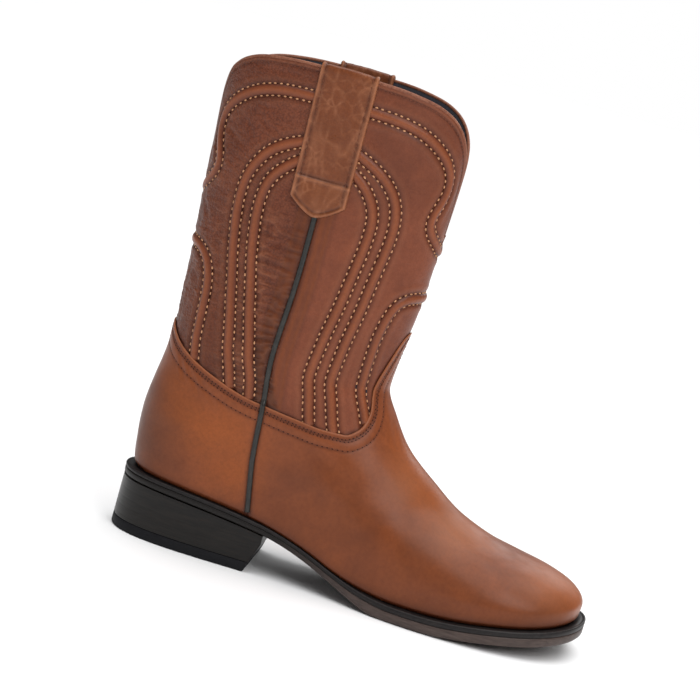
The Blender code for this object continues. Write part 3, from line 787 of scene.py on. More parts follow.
@dataclass(frozen=True)
class Leather:
    """Dyed and burnished leather.

    Args:
        name: Name of the material.
        base: Main colour, 0 to 255.
        deep: Colour of darker mottling and grain, and of painted shade in hollows and grooves and near the
            sole.
        pale: Colour of cut edges and crackle veins, and of painted highlights on crests and on the vamp.
        warm: Colour of the orange burnish.
        rough: Mean roughness.
        grain: Depth of the pebble grain in millimetres.
        veins: Share of pale crackle veins.
        coat: Weight of the clear coat.
    """

    name: str
    base: tuple[int, int, int]
    deep: tuple[int, int, int]
    pale: tuple[int, int, int]
    warm: tuple[int, int, int]
    rough: float = 0.42
    grain: float = 0.10
    veins: float = 0.0
    coat: float = 0.12

    def material(self) -> Material:
        """Mottled colour, orange tone, pale cut edges, painted shade and painted highlights, two sizes of
        grain and a coat.
        """
        plan = Plan(self.name)
        broad = plan.spread(plan.noise(38.0, 5.0, 0.6, 0.6), 0.34, 0.68)
        fine = plan.noise(420.0, 5.0, 0.65)
        pebble = plan.cells(820.0, False)
        colour = plan.blend(plan.maths("MULTIPLY", broad, 0.34), linear(self.base), linear(self.deep))
        colour = plan.blend(plan.mark("warm"), colour, linear(self.warm))
        colour = plan.blend(plan.spread(fine, 0.42, 0.72, 0.0, 0.22), colour, linear(self.deep))
        grainy = plan.maths("MULTIPLY", plan.mark("pebble"), plan.spread(pebble, 0.30, 0.75, 0.0, 0.45))
        colour = plan.blend(grainy, colour, linear(self.deep))
        # painted shade from the dark mark, then pale cut edges, veins and painted highlights from the lift
        # mark
        colour = plan.blend(plan.mark("dark"), colour, linear(self.deep))
        colour = plan.blend(plan.mark("lift"), colour, linear(self.pale))
        if self.veins > 0.0:
            colour = self.veined(plan, colour)
        normal = self.grained(plan, fine, pebble)
        rough = plan.spread(plan.noise(90.0, 4.0), 0.3, 0.7, self.rough - 0.07, self.rough + 0.09)
        return plan.close(self.shaded(plan, colour), rough, normal, self.coat, 0.22)

    def veined(self, plan: Plan, colour: NodeSocket) -> NodeSocket:
        """Pale crackle lines over a colour, along the edges of a cell pattern that noise bends."""
        web = plan.node("ShaderNodeTexVoronoi", feature="DISTANCE_TO_EDGE", Scale=150.0)
        bend = plan.node("ShaderNodeTexNoise", Vector=plan.place, Scale=160.0, Detail=3.0)
        push = plan.node("ShaderNodeVectorMath", operation="MULTIPLY_ADD")
        plan.tree.links.new(bend.outputs["Color"], push.inputs[0])
        push.inputs[1].default_value = (0.005, 0.005, 0.005)
        plan.tree.links.new(plan.place, push.inputs[2])
        plan.tree.links.new(push.outputs[0], web.inputs["Vector"])
        line = plan.spread(web.outputs["Distance"], 0.0, 0.14, 1.0, 0.0)
        patchy = plan.spread(plan.noise(60.0, 3.0), 0.45, 0.62)
        vein = plan.maths("MULTIPLY", plan.maths("MULTIPLY", line, patchy), self.veins)
        return plan.blend(vein, colour, linear(self.pale))

    def shaded(self, plan: Plan, colour: NodeSocket) -> NodeSocket:
        """A colour times one less the painted shade."""
        left = plan.maths("SUBTRACT", 1.0, plan.mark("shade"))
        grey = plan.node("ShaderNodeCombineColor", Red=left, Green=left, Blue=left)
        mix = plan.node("ShaderNodeMix", data_type="RGBA", blend_type="MULTIPLY")
        mix.inputs[0].default_value = 1.0
        plan.tree.links.new(colour, mix.inputs[6])
        plan.tree.links.new(grey.outputs[0], mix.inputs[7])
        return mix.outputs[2]

    def grained(self, plan: Plan, fine: NodeSocket,
                pebble: NodeSocket) -> NodeSocket:
        """Three bumps one over the other: pebbles, short folds and fine grain."""
        strong = plan.maths("ADD", plan.maths("MULTIPLY", plan.mark("pebble"), 0.85), 0.15)
        relief = plan.maths("MULTIPLY", plan.spread(pebble, 0.1, 0.8, 1.0, 0.0), strong)
        folds = plan.maths("MULTIPLY", plan.noise(250.0, 3.0, 0.6, 1.4), plan.mark("pebble"))
        normal = plan.dent(relief, self.grain * 1.6, 0.55)
        normal = plan.dent(folds, self.grain * 6.0, 0.65, normal)
        return plan.dent(fine, self.grain * 0.6, 0.45, normal)


@dataclass(frozen=True)
class Plain:
    """A dark or tan finish with grain or streaks: thread, lining, rubber, sole edge, piping.

    Args:
        name: Name of the material.
        base: Main colour, 0 to 255.
        other: Second colour of the mottling.
        rough: Mean roughness.
        scale: Size of the pattern in cells a metre.
        depth: Depth of the bump in millimetres.
        stretch: Scale factors along x, y and z; a low z factor gives upright streaks.
        coat: Weight of the clear coat.
        black_heel: Whether it is burnished black from the waist back, as the heel is.
    """

    name: str
    base: tuple[int, int, int]
    other: tuple[int, int, int]
    rough: float = 0.5
    scale: float = 500.0
    depth: float = 0.06
    stretch: tuple[float, float, float] = (1.0, 1.0, 1.0)
    coat: float = 0.0
    black_heel: bool = False

    def material(self) -> Material:
        """Two colours mixed by stretched noise, with the same noise as a bump."""
        plan = Plan(self.name)
        parts = plan.node("ShaderNodeSeparateXYZ", Vector=plan.place)
        mapped = plan.node("ShaderNodeMapping", Vector=plan.place)
        mapped.inputs["Scale"].default_value = self.stretch
        plan.place = mapped.outputs[0]
        fine = plan.noise(self.scale, 4.0, 0.6)
        broad = plan.noise(self.scale * 0.12, 3.0)
        patches = plan.spread(broad, 0.3, 0.6, 0.35, 1.0)
        share = plan.maths("MULTIPLY", plan.spread(fine, 0.35, 0.7), patches)
        colour = plan.blend(share, linear(self.base), linear(self.other))
        if self.black_heel:
            behind = plan.spread(parts.outputs["X"], -0.045, 0.01, 1.0, 0.0)
            colour = plan.blend(behind, colour, linear((22, 18, 16)))
        rough = plan.spread(broad, 0.3, 0.7, self.rough - 0.06, self.rough + 0.08)
        return plan.close(colour, rough, plan.dent(fine, self.depth, 0.6), self.coat, 0.2)


SHAFT = Leather("shaft_leather", (134, 72, 47), (70, 31, 20), (176, 112, 80), (152, 78, 34),
                rough=0.42, grain=0.20, coat=0.05)
FOOT_LEATHER = Leather("foot_leather", (140, 74, 40), (72, 34, 20), (180, 116, 80), (164, 84, 28),
                       rough=0.40, grain=0.035, coat=0.07)
STRAP = Leather("strap_leather", (130, 70, 40), (70, 33, 20), (184, 120, 84), (146, 80, 38),
                rough=0.34, grain=0.10, veins=0.34, coat=0.14)
CORD = Leather("cord_leather", (138, 74, 48), (76, 34, 22), (184, 116, 78), (160, 84, 40),
               rough=0.38, grain=0.08, coat=0.08)
BEAD = Plain("collar_edge", (142, 92, 70), (104, 60, 44), 0.45, 600.0, 0.05)
LINING = Plain("lining", (30, 30, 36), (44, 44, 52), 0.75, 700.0, 0.06)
PIPING = Plain("piping", (30, 30, 28), (52, 50, 47), 0.30, 500.0, 0.05, stretch=(1.0, 1.0, 0.35), coat=0.25)
WELT_TOP = Plain("welt", (20, 17, 17), (36, 31, 30), 0.46, 450.0, 0.08, coat=0.1)
SOLE_EDGE = Plain("sole_edge", (62, 51, 47), (84, 71, 66), 0.46, 300.0, 0.06,
                  stretch=(0.35, 1.0, 3.0), coat=0.10, black_heel=True)
STACK = Plain("heel_stack", (11, 8, 6), (27, 22, 18), 0.42, 300.0, 0.08,
              stretch=(0.25, 0.25, 2.6), coat=0.15)
RUBBER = Plain("heel_rubber", (13, 13, 16), (24, 24, 28), 0.66, 900.0, 0.06)
THREAD = Plain("thread", (208, 154, 114), (172, 120, 84), 0.6, 1500.0, 0.05)
TONE_THREAD = Plain("tone_thread", (118, 64, 42), (88, 44, 28), 0.6, 1500.0, 0.05)
# Dark discs at the needle holes: painted shade that stands for the inside of each hole
HOLE_SHADE = Plain("needle_hole_shade", (46, 22, 16), (60, 30, 20), 0.8, 900.0, 0.02)

# Materials that are ready, by name
MADE: dict[str, Material] = {}


def material_of(finish: Leather | Plain) -> Material:
    """The finish's material, built once."""
    if finish.name not in MADE:
        MADE[finish.name] = finish.material()
    return MADE[finish.name]


def coarse(count: int) -> int:
    return count


def make_piece(name: str, points: Array, faces: list[Array], finish: Leather | Plain,
               marks: dict[str, Array] | None = None, smooth: bool = True) -> Object:
    """Makes one object from points in millimetres and face tables.

    Args:
        name: Name of the object.
        points: Points as rows of x, y and z.
        faces: Index tables, each with three or more columns.
        finish: What it is covered with.
        marks: Painted values for each point, by name.
        smooth: Whether faces are shaded smooth.

    Returns:
        The object, linked to the scene, with faces outward.
    """
    mesh = bpy.data.meshes.new(name)
    loops = np.concatenate([table.ravel() for table in faces]).astype(np.int32)
    totals = np.concatenate([np.full(len(table), table.shape[1]) for table in faces]).astype(np.int32)
    mesh.vertices.add(len(points))
    mesh.vertices.foreach_set("co", ((points.reshape(-1, 3) - MIDDLE) * MM).astype(np.float32).ravel())
    mesh.loops.add(len(loops))
    mesh.loops.foreach_set("vertex_index", loops)
    mesh.polygons.add(len(totals))
    mesh.polygons.foreach_set("loop_start", np.concatenate(([0], np.cumsum(totals)[:-1])).astype(np.int32))
    mesh.polygons.foreach_set("loop_total", totals)
    mesh.polygons.foreach_set("use_smooth", np.full(len(totals), smooth))
    for mark in MARKS if isinstance(finish, Leather) else ():
        value = (marks or {}).get(mark, np.zeros(len(points)))
        layer = mesh.attributes.new(mark, "FLOAT", "POINT")
        layer.data.foreach_set("value", np.broadcast_to(value, (len(points),)).astype(np.float32))
    mesh.update(calc_edges=True)
    shape = bmesh.new()
    shape.from_mesh(mesh)
    bmesh.ops.recalc_face_normals(shape, faces=shape.faces)
    shape.to_mesh(mesh)
    shape.free()
    mesh.materials.append(material_of(finish))
    thing = bpy.data.objects.new(name, mesh)
    bpy.context.scene.collection.objects.link(thing)
    return thing


def grid_faces(rows: int, columns: int, wrap_rows: bool, wrap_columns: bool) -> Array:
    """Quads of a grid whose points are numbered row by row.

    Args:
        rows: How many rows.
        columns: How many columns.
        wrap_rows: Whether the last row joins the first.
        wrap_columns: Whether the last column joins the first.

    Returns:
        Index table with four columns.
    """
    r = np.arange(rows if wrap_rows else rows - 1)
    c = np.arange(columns if wrap_columns else columns - 1)
    r0, c0 = np.meshgrid(r, c, indexing="ij")
    r1, c1 = (r0 + 1) % rows, (c0 + 1) % columns
    corners = (r0 * columns + c0, r0 * columns + c1, r1 * columns + c1, r1 * columns + c0)
    return np.stack([corner.ravel() for corner in corners], axis=1)


def zip_faces(long_side: Array, short_side: Array) -> Array:
    """Triangles between two lines of point numbers that run side by side, the first with more points.

    Args:
        long_side: Point numbers of the finer line.
        short_side: Point numbers of the coarser line.

    Returns:
        Index table with three columns.
    """
    partner = np.round(np.linspace(0.0, len(short_side) - 1.0, len(long_side))).astype(int)
    first = np.stack([long_side[:-1], long_side[1:], short_side[partner[:-1]]], axis=1)
    turn = np.nonzero(np.diff(partner))[0]
    corners = (short_side[partner[turn]], long_side[turn + 1], short_side[partner[turn + 1]])
    return np.concatenate([first, np.stack(corners, axis=1)])


def strip(name: str, loops: Array, finish: Leather | Plain, closed: bool,
          marks: dict[str, Array] | None = None) -> Object:
    """A bar from equal loops of points placed one after the other.

    Args:
        name: Name of the object.
        loops: Points with axes of station, point on the loop, and x, y, z.
        finish: What it is covered with.
        closed: Whether the last loop joins the first; otherwise both ends get a face.
        marks: Painted values for each point, by name.

    Returns:
        The object.
    """
    count, around = loops.shape[:2]
    faces = [grid_faces(count, around, closed, True)]
    if not closed:
        faces.append(np.arange(around)[::-1][None, :])
        faces.append(((count - 1) * around + np.arange(around))[None, :])
    flat = {key: np.broadcast_to(value, (count, around)).ravel() for key, value in (marks or {}).items()}
    return make_piece(name, loops.reshape(-1, 3), faces, finish, flat)


def finish_piece(thing: Object, slot: str, *nodes: str) -> None:
    """Args:
        thing: The piece.
        slot: Not used.
        nodes: Names of the nodes, none for a piece that is only added.
    """
    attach(thing, "root")
    if nodes:
        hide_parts(*nodes)
    LOG.info("%s: %d points", thing.name, len(thing.data.vertices))


@dataclass(frozen=True)
class Crease:
    """A soft fold on the leather.

    Args:
        places: Angle and height of its points.
        depth: Depth in millimetres.
        width: Half width in millimetres.
    """

    places: tuple[tuple[float, float], ...]
    depth: float
    width: float


@dataclass(frozen=True)
class Spot:
    """A soft patch of colour.

    Args:
        angle: Angle of its middle.
        height: Height of its middle.
        width: Half width in millimetres.
        amount: How strong it is.
        mark: Which painted value it adds to.
    """

    angle: float
    height: float
    width: float
    amount: float
    mark: str


CREASES_FOOT = (
    Crease(((150, 98), (155, 106), (159, 116)), 0.35, 3.0),
    Crease(((160, 92), (165, 102), (170, 112)), 0.30, 3.6),
    Crease(((200, 95), (196, 106), (192, 118)), 0.30, 3.6),
    Crease(((128, 60), (140, 63), (152, 66)), 0.22, 7.0),
    Crease(((126, 48), (138, 50), (150, 52)), 0.16, 7.0),
    Crease(((98, 84), (106, 76), (112, 66)), 0.18, 5.0),
    Crease(((34, 112), (38, 106), (40, 101)), 0.28, 1.4),
    Crease(((42, 109), (47, 102), (50, 97)), 0.30, 1.5),
    Crease(((50, 106), (56, 98), (60, 92)), 0.26, 1.6),
    Crease(((58, 102), (63, 95), (66, 88)), 0.22, 1.7),
    Crease(((20, 70), (34, 66), (48, 60)), 0.20, 6.0),
    Crease(((232, 60), (222, 64), (210, 67)), 0.22, 6.0),
)
CREASES_SHAFT = (
    Crease(((82, 196), (74, 191), (70, 184)), 0.40, 1.3),
    Crease(((87, 189), (80, 186), (72, 187)), 0.30, 1.2),
    Crease(((86, 177), (79, 174), (72, 176)), 0.34, 1.2),
    Crease(((85, 168), (77, 169), (71, 165)), 0.28, 1.1),
    Crease(((84, 157), (78, 153), (74, 145)), 0.38, 1.3),
    Crease(((87, 148), (80, 150), (73, 155)), 0.26, 1.2),
    Crease(((86, 139), (79, 137), (74, 139)), 0.26, 1.2),
    Crease(((85, 127), (80, 124), (77, 118)), 0.30, 1.3),
    Crease(((20, 250), (34, 247), (47, 241)), 0.42, 1.6),
    Crease(((16, 236), (28, 236), (40, 229)), 0.40, 1.5),
    Crease(((52, 262), (60, 255), (70, 252)), 0.35, 1.3),
    Crease(((46, 268), (56, 266), (68, 268)), 0.24, 1.2),
    Crease(((40, 258), (48, 252), (52, 246)), 0.32, 1.4),
    Crease(((24, 292), (50, 288), (72, 289)), 0.28, 1.6),
    Crease(((18, 204), (26, 198), (34, 186)), 0.36, 1.8),
    Crease(((48, 214), (44, 200), (43, 186)), 0.25, 2.2),
    Crease(((278, 190), (284, 186), (290, 187)), 0.32, 1.3),
    Crease(((276, 170), (284, 168), (289, 172)), 0.30, 1.2),
    Crease(((275, 150), (283, 152), (288, 147)), 0.32, 1.3),
    Crease(((320, 250), (334, 247), (344, 241)), 0.40, 1.6),
    Crease(((112, 286), (130, 282), (148, 272)), 0.16, 3.0),
)
# Spots on the vamp and the counter: shade spots are painted shade, lift spots a painted highlight on the
# middle of the vamp, warm spots orange tone, and dark spots darken the leather low on the outer front and
# on the inner side
SPOTS_FOOT = (
    Spot(0, 66, 44, 0.26, "shade"), Spot(22, 66, 26, 0.20, "shade"), Spot(336, 66, 30, 0.20, "shade"),
    Spot(58, 72, 20, 0.55, "warm"), Spot(40, 84, 16, 0.40, "warm"), Spot(62, 56, 12, 0.30, "warm"),
    Spot(92, 60, 42, 0.20, "shade"), Spot(112, 44, 44, 0.17, "shade"), Spot(128, 32, 40, 0.14, "shade"),
    Spot(142, 22, 32, 0.12, "shade"), Spot(262, 62, 44, 0.20, "shade"),
    Spot(160, 70, 16, 0.34, "warm"), Spot(168, 88, 16, 0.40, "warm"), Spot(170, 54, 18, 0.30, "warm"),
    Spot(148, 56, 18, 0.36, "lift"), Spot(144, 76, 14, 0.20, "lift"), Spot(156, 40, 18, 0.22, "lift"),
    Spot(174, 40, 24, 0.25, "warm"), Spot(230, 40, 44, 0.20, "shade"),
    Spot(150, 26, 18, 0.28, "dark"), Spot(180, 36, 18, 0.20, "lift"), Spot(240, 44, 26, 0.25, "dark"),
    Spot(260, 70, 26, 0.25, "dark"), Spot(300, 76, 20, 0.40, "warm"), Spot(206, 60, 20, 0.40, "warm"),
)


def painted(points: Array, spots: tuple[Spot, ...], marks: dict[str, Array]) -> None:
    """Adds each spot's amount times e to the minus (distance over width) squared to its painted value."""
    for spot in spots:
        centre = LAST.body(LAST.level_at(np.array(spot.angle), np.array(spot.height)), np.array(spot.angle))
        away = np.linalg.norm(points - centre, axis=-1)
        marks[spot.mark] = marks[spot.mark] + spot.amount * bell(away, spot.width)


class Relief:
    """Heights and painted values that the upper's leather gets on top of the last's plain surface."""

    def __init__(self) -> None:
        """Lays out the rows once: cords, seams, panel edges, rim and creases."""
        self.cords = corded_rows()
        self.seams = {}
        for side in Side:
            angles = SEAM_LINE[:, 0] if side is Side.LATERAL else 360.0 - SEAM_LINE[:, 0]
            self.seams[side] = Row.traced(angles, SEAM_LINE[:, 1], ROW_SPACING, 0.0)
        turns = np.arange(0.0, 360.01, 0.4)
        self.edge = Row(turns, LAST.level_at(turns, LAST.panel_height(turns)))
        self.rim = Row(turns, LAST.level_at(turns, LAST.collar_height(turns)))
        self.folds = {"shaft": CREASES_SHAFT, "foot": CREASES_FOOT}

    def creased(self, points: Array, part: str) -> Array:
        """Sum of the listed folds: minus depth times a bell, with a small raised lip beside it, and
        both fading towards the ends of the line."""
        height = np.zeros(len(points))
        for fold in self.folds[part]:
            angles, heights = np.array(fold.places, float).T
            row = Row.traced(angles, heights, ROW_SPACING)
            found, _, along, distance = row.near(points, fold.width * 3.5)
            share = np.clip(along / row.length[-1], 0.0, 1.0)
            fade = np.sin(np.pi * (0.08 + 0.84 * share)) ** 0.8
            lip = 0.45 * bell(distance - fold.width * 1.9, fold.width)
            height[found] += fold.depth * fade * (lip - bell(distance, fold.width))
        return height

    def shaft(self, points: Array, angle: Array) -> tuple[Array, dict[str, Array]]:
        """Relief of the shaft: a trough on both sides of every cord, needle dips, wrinkles and folds.

        Args:
            points: Points of the plain surface.
            angle: Angle of each point.

        Returns:
            Height out of the surface and the painted values.
        """
        marks = {name: np.zeros(len(points)) for name in MARKS}
        height = self.beside_cords(points, marks)
        height += self.wrinkled(points, LAST.fold(angle), marks) + self.creased(points, "shaft")
        self.seam_band(points, height, marks)
        found, _, _, away = self.rim.near(points, 8.0)
        height[found] -= 0.32 * bell(away - 2.6, 0.7)
        # painted shade in the groove under the collar's roll, and a painted highlight along the roll
        deepen(marks["dark"], found, 0.8 * bell(away - 2.5, 0.8))
        marks["lift"][found] += 0.22 * bell(away - 1.2, 0.8)
        # painted shadow on the shaft just above the edge of the vamp and the counter
        found, _, _, away = self.edge.near(points, 8.0)
        deepen(marks["dark"], found, 0.9 * bell(away, 1.8))
        return np.clip(height, -1.2, 1.1), {name: np.clip(value, 0.0, 1.0) for name, value in marks.items()}

    def beside_cords(self, points: Array, marks: dict[str, Array]) -> Array:
        """Trough and swell on both sides of every cord, deeper at each stitch."""
        trough, swell = np.zeros(len(points)), np.zeros(len(points))
        for row in self.cords.values():
            found, _, along, away = row.near(points, 10.0)
            deepen(trough, found, 0.5 * (1.0 - ease((away - 3.2) / 2.0)))
            deepen(swell, found, 0.28 * bell(away - 6.8, 1.8))
            pull = 0.5 + 0.5 * np.cos(2.0 * np.pi * along / STITCH_PITCH)
            line = bell(away - ROW_APART, 1.0)
            trough[found] += 0.12 * line * pull
            # painted shade along the stitch lines and in the trough, painted highlight on the swell
            deepen(marks["dark"], found, 0.50 * line + 0.22 * bell(away - 4.4, 1.6))
            deepen(marks["lift"], found, 0.10 * bell(away - 6.6, 1.6))
        return swell - trough

    def wrinkled(self, points: Array, turn: Array, marks: dict[str, Array]) -> Array:
        """Wrinkles of the back half, from noise turned over at zero so that it has sharp crests: cross
        wrinkles beside the seam, upright ones in patches, and slow waves all round."""
        back = 1.0 - ease((turn - 89.5) / 2.5)
        z = points[:, 2]
        around = np.radians(turn) * 62.0 + points[:, 1] * 0.4
        wrinkle = 1.0 - np.abs(cloud(around * 0.10 + 0.6 * cloud(around * 0.05, z * 0.05, 5), z * 0.46, 3))
        upright = 1.0 - np.abs(cloud(around * 0.26, z * 0.17 + 0.5 * cloud(around * 0.08, z * 0.08, 9), 4))
        beside = ease((turn - 62.0) / 8.0) * ease((214.0 - z) / 14.0)
        patch = back * (0.30 + 0.70 * ease(cloud(around * 0.035, z * 0.03, 8) * 1.4 + 0.45))
        height = back * beside * 0.62 * (wrinkle**3 - 0.35)
        height += patch * 0.42 * (upright**3 - 0.3) + patch * 0.30 * (wrinkle**4 - 0.2)
        # painted highlights on the crests of the wrinkles and painted shade in their hollows
        marks["lift"] += patch * 0.22 * (wrinkle**7) + back * beside * 0.18 * wrinkle**8
        marks["dark"] += patch * 0.30 * (1.0 - upright) ** 2 + back * beside * 0.40 * (1.0 - wrinkle) ** 2
        marks["pebble"] = 0.22 + 0.78 * back * (0.55 + 0.45 * ease((z - 120.0) / 60.0))
        low = 1.0 - ease((z - 105.0) / 70.0)
        # painted shade: some all over, more on the back half, low down and round the back's middle, and on
        # the upper front
        marks["shade"] = 0.10 + back * (0.12 + 0.16 * low) + 0.16 * bell(turn, 26.0)
        marks["shade"] += (1.0 - back) * 0.14 * ease((z - 200.0) / 60.0)
        return height + 0.30 * cloud(around * 0.045, z * 0.04, 12)

    def seam_band(self, points: Array, height: Array, marks: dict[str, Array]) -> None:
        """Groove that the piping lies in and the folded band on both sides of it."""
        for row in self.seams.values():
            found, across, _, away = row.near(points, 16.0)
            apart = np.abs(across)
            band = ease((apart - 1.5) / 1.0) * (1.0 - ease((apart - 9.5) / 1.8))
            height[found] += 0.40 * band - 0.75 * bell(away, 2.1) - 0.22 * bell(apart - 11.2, 1.0)
            # painted shade in the groove of the piping and along the outer edge of the band
            deepen(marks["dark"], found, 0.85 * bell(away, 2.6))
            deepen(marks["dark"], found, 0.30 * bell(apart - 11.0, 1.2))
            # orange tone over the band, striped lighter and darker across it as painted shading of its
            # folds; then painted shade over the band
            marks["warm"][found] += 0.55 * band * (0.6 + 0.4 * np.cos(apart * 1.25))
            marks["pebble"][found] *= 1.0 - 0.8 * band
            marks["shade"][found] += 0.24 * band

    def foot(self, points: Array, angle: Array) -> tuple[Array, dict[str, Array]]:
        """Relief of the vamp and the counter: rolled edge, two stitch lines and folds, with painted shade,
        painted highlights and orange tone.

        Args:
            points: Points of the plain surface.
            angle: Angle of each point.

        Returns:
            Height out of the surface and the painted values.
        """
        marks = {name: np.zeros(len(points)) for name in MARKS}
        height = self.creased(points, "foot")
        found, _, _, away = self.edge.near(points, 16.0)
        height[found] -= 0.22 * bell(away - 3.0, 0.8) + 0.12 * bell(away - 9.4, 0.8)
        height[found] += 0.16 * bell(away - 6.2, 2.0)
        # pale cut edge of the panel, then painted shade in the grooves of its two stitch lines
        marks["lift"][found] += 0.32 * bell(away, 0.5)
        marks["dark"][found] += 0.62 * bell(away - 2.9, 1.2) + 0.42 * bell(away - 9.4, 0.9)
        turn = LAST.fold(angle)
        height += 0.22 * cloud(points[:, 0] * 0.035, points[:, 2] * 0.05 + points[:, 1] * 0.03, 21)
        for row in self.seams.values():
            found, _, _, away = row.near(points, 9.0)
            height[found] -= 0.6 * bell(away, 2.0)
            # painted shade in the groove of the side seam
            deepen(marks["dark"], found, 0.85 * bell(away, 2.5))
        low = points[:, 2] - LAST.seat(points[:, 0])
        # painted shade towards the welt, where the leather turns down
        marks["dark"] += 0.55 * bell(low, 4.0) + 0.16 * bell(low, 14.0)
        height -= 0.5 * bell(low, 1.6)
        marks["pebble"] = 0.10 + 0.10 * (1.0 - ease((turn - 60.0) / 30.0))
        painted(points, SPOTS_FOOT, marks)
        cast = 0.10 * cloud(points[:, 0] * 0.05, points[:, 2] * 0.06, 31)
        marks["warm"] += cast
        marks["dark"] -= 0.5 * cast
        return np.clip(height, -1.0, 0.9), {name: np.clip(value, 0.0, 1.0) for name, value in marks.items()}

    def raised(self, row: Row, foot: bool, lift: float) -> Array:
        """Points of a row on the finished leather, a little above it."""
        height = (self.foot if foot else self.shaft)(row.point, row.angle)[0]
        return row.point + row.normal * (height + (STEP if foot else 0.0) + lift)[:, None]


@dataclass
class UpperPanel:
    """One sheet of the upper between the two side seams.

    Args:
        name: Name of the object.
        panel: Front or back half.
        foot: True for the vamp and the counter, False for the halves of the shaft.
        columns: Points round the boot.
        rows: Points up the boot.
        tuck: How far the shaft goes down behind the vamp's or the counter's edge.
        depth: How far the inner face lies behind the last's surface.
    """

    name: str
    panel: Panel
    foot: bool
    columns: int
    rows: int
    tuck: float = 7.0
    depth: float = 0.92

    def span(self, share: Array) -> tuple[Array, Array]:
        """Lowest and highest level of the sheet at an angle."""
        edge = LAST.level_at(share, LAST.panel_height(share))
        if self.foot:
            return np.zeros_like(edge), edge
        low = LAST.level_at(share, LAST.panel_height(share) - self.tuck)
        return low, LAST.level_at(share, LAST.collar_height(share))

    def stations(self) -> tuple[Array, Array]:
        """Angle and level of each grid point. Columns are even along the sheet's top and middle; the two
        ends follow the side seam, found by repeating seam angle from height five times.

        Returns:
            Angles and levels, as rows by columns.
        """
        up = np.linspace(0.0, 1.0, self.rows)
        up = up if not self.foot else up**1.06
        seam = np.full(self.rows, 88.0)
        for _ in range(5):
            low, high = self.span(seam)
            seam = LAST.seam_angle(LAST.height(low + (high - low) * up, seam))
        first, last = (88.0, 272.0) if self.panel is Panel.FRONT else (-88.0, 88.0)
        probe = np.linspace(first, last, 1500)
        low, high = self.span(probe)
        far = np.zeros(1499)
        for share, weight in ((1.0, 1.0), (0.45, 1.0), (0.0, 0.6)):
            line = LAST.body(low + (high - low) * share, probe)
            step = np.linalg.norm(np.diff(line, axis=0), axis=1)
            far += weight * step / step.sum()
        run = np.concatenate(([0.0], np.cumsum(far)))
        across = np.interp(np.linspace(0.0, run[-1], self.columns), run, np.linspace(0.0, 1.0, 1500))
        if self.panel is Panel.FRONT:
            angles = seam[:, None] + (360.0 - 2.0 * seam[:, None]) * across[None, :]
        else:
            angles = -seam[:, None] + 2.0 * seam[:, None] * across[None, :]
        low, high = self.span(angles)
        return angles, low + (high - low) * up[:, None]

    def build(self, relief: Relief) -> Object:
        """Outer face with its relief, rounded top edge, plain inner face, and zipped ends.

        Args:
            relief: The shared relief of the upper.

        Returns:
            The object.
        """
        self.rows, self.columns = coarse(self.rows), coarse(self.columns)
        angles, levels = self.stations()
        plain = LAST.body(levels, angles)
        normal = LAST.outward(levels, angles)
        rule = relief.foot if self.foot else relief.shaft
        height, marks = rule(plain.reshape(-1, 3), angles.ravel())
        height = height.reshape(angles.shape)
        up = np.linspace(0.0, 1.0, self.rows)[:, None]
        base = STEP if self.foot else 0.0
        outer = plain + normal * (height + base)[..., None]
        if self.foot:
            tuck = 0.9 * (1.0 - ease(np.arange(self.rows) / 5.0))[:, None]
            outer = outer - normal * tuck[..., None]
        pick = np.unique(np.round(np.linspace(self.rows - 1, 0, 16)).astype(int))[::-1]
        depth = np.full((len(pick), 1), -self.depth)
        if self.foot:
            depth = -self.depth + 1.05 * ease((up[pick] - 0.80) / 0.08)
        inner = plain[pick] + normal[pick] * (depth * np.ones_like(angles[pick]))[..., None]
        edge_in, edge_out = plain[-1] + normal[-1] * depth[0, 0], outer[-1]
        way = unit(np.cross(np.gradient(plain[-1], axis=0), normal[-1]))
        way = way * np.sign((way * (plain[-1] - plain[-3])).sum(axis=1, keepdims=True))
        rim = []
        for share in (0.2, 0.5, 0.8):
            bulge = 0.45 * math.sin(math.pi * share)
            rim.append(edge_out + (edge_in - edge_out) * share + way * bulge)
        points = np.concatenate([outer, np.array(rim), inner])
        total = len(points)
        faces = [grid_faces(total, self.columns, True, False)]
        rows_out = np.arange(self.rows)
        rows_in = np.arange(self.rows, total)[::-1]
        for column in (0, self.columns - 1):
            faces.append(zip_faces(rows_out * self.columns + column, rows_in * self.columns + column))
        full = {}
        for name, value in marks.items():
            value = value.reshape(angles.shape)
            full[name] = np.concatenate([value, np.repeat(value[-1:], 3, 0), value[pick]]).ravel()
        finish = FOOT_LEATHER if self.foot else SHAFT
        thing = make_piece(self.name, points.reshape(-1, 3), faces, finish, full)
        finish_piece(thing, "shaft_leather", "upper")
        return thing


@dataclass
class Lining:
    """Black lining that covers the whole inside of the wall up to the rim."""

    name: str = "lining"
    columns: int = 300
    rows: int = 70

    def build(self) -> Object:
        """A closed sheet between the inner face of the leather and the inside of the wall."""
        angles = np.arange(self.columns) * 360.0 / self.columns
        top = LAST.level_at(angles, LAST.collar_height(angles) - 0.1)
        up = np.linspace(0.0, 1.0, self.rows)[:, None]
        turns = np.broadcast_to(angles, (self.rows, self.columns))
        inner = LAST.raised(top * up, turns, np.full(turns.shape, -WALL))
        outer = LAST.raised(top * up, turns, np.full(turns.shape, -0.95))
        points = np.concatenate([outer[::3], outer[-1:], inner[::-1]])
        faces = [grid_faces(len(points), self.columns, True, True)]
        thing = make_piece(self.name, points.reshape(-1, 3), faces, LINING)
        finish_piece(thing, "shaft_leather", "upper")
        return thing


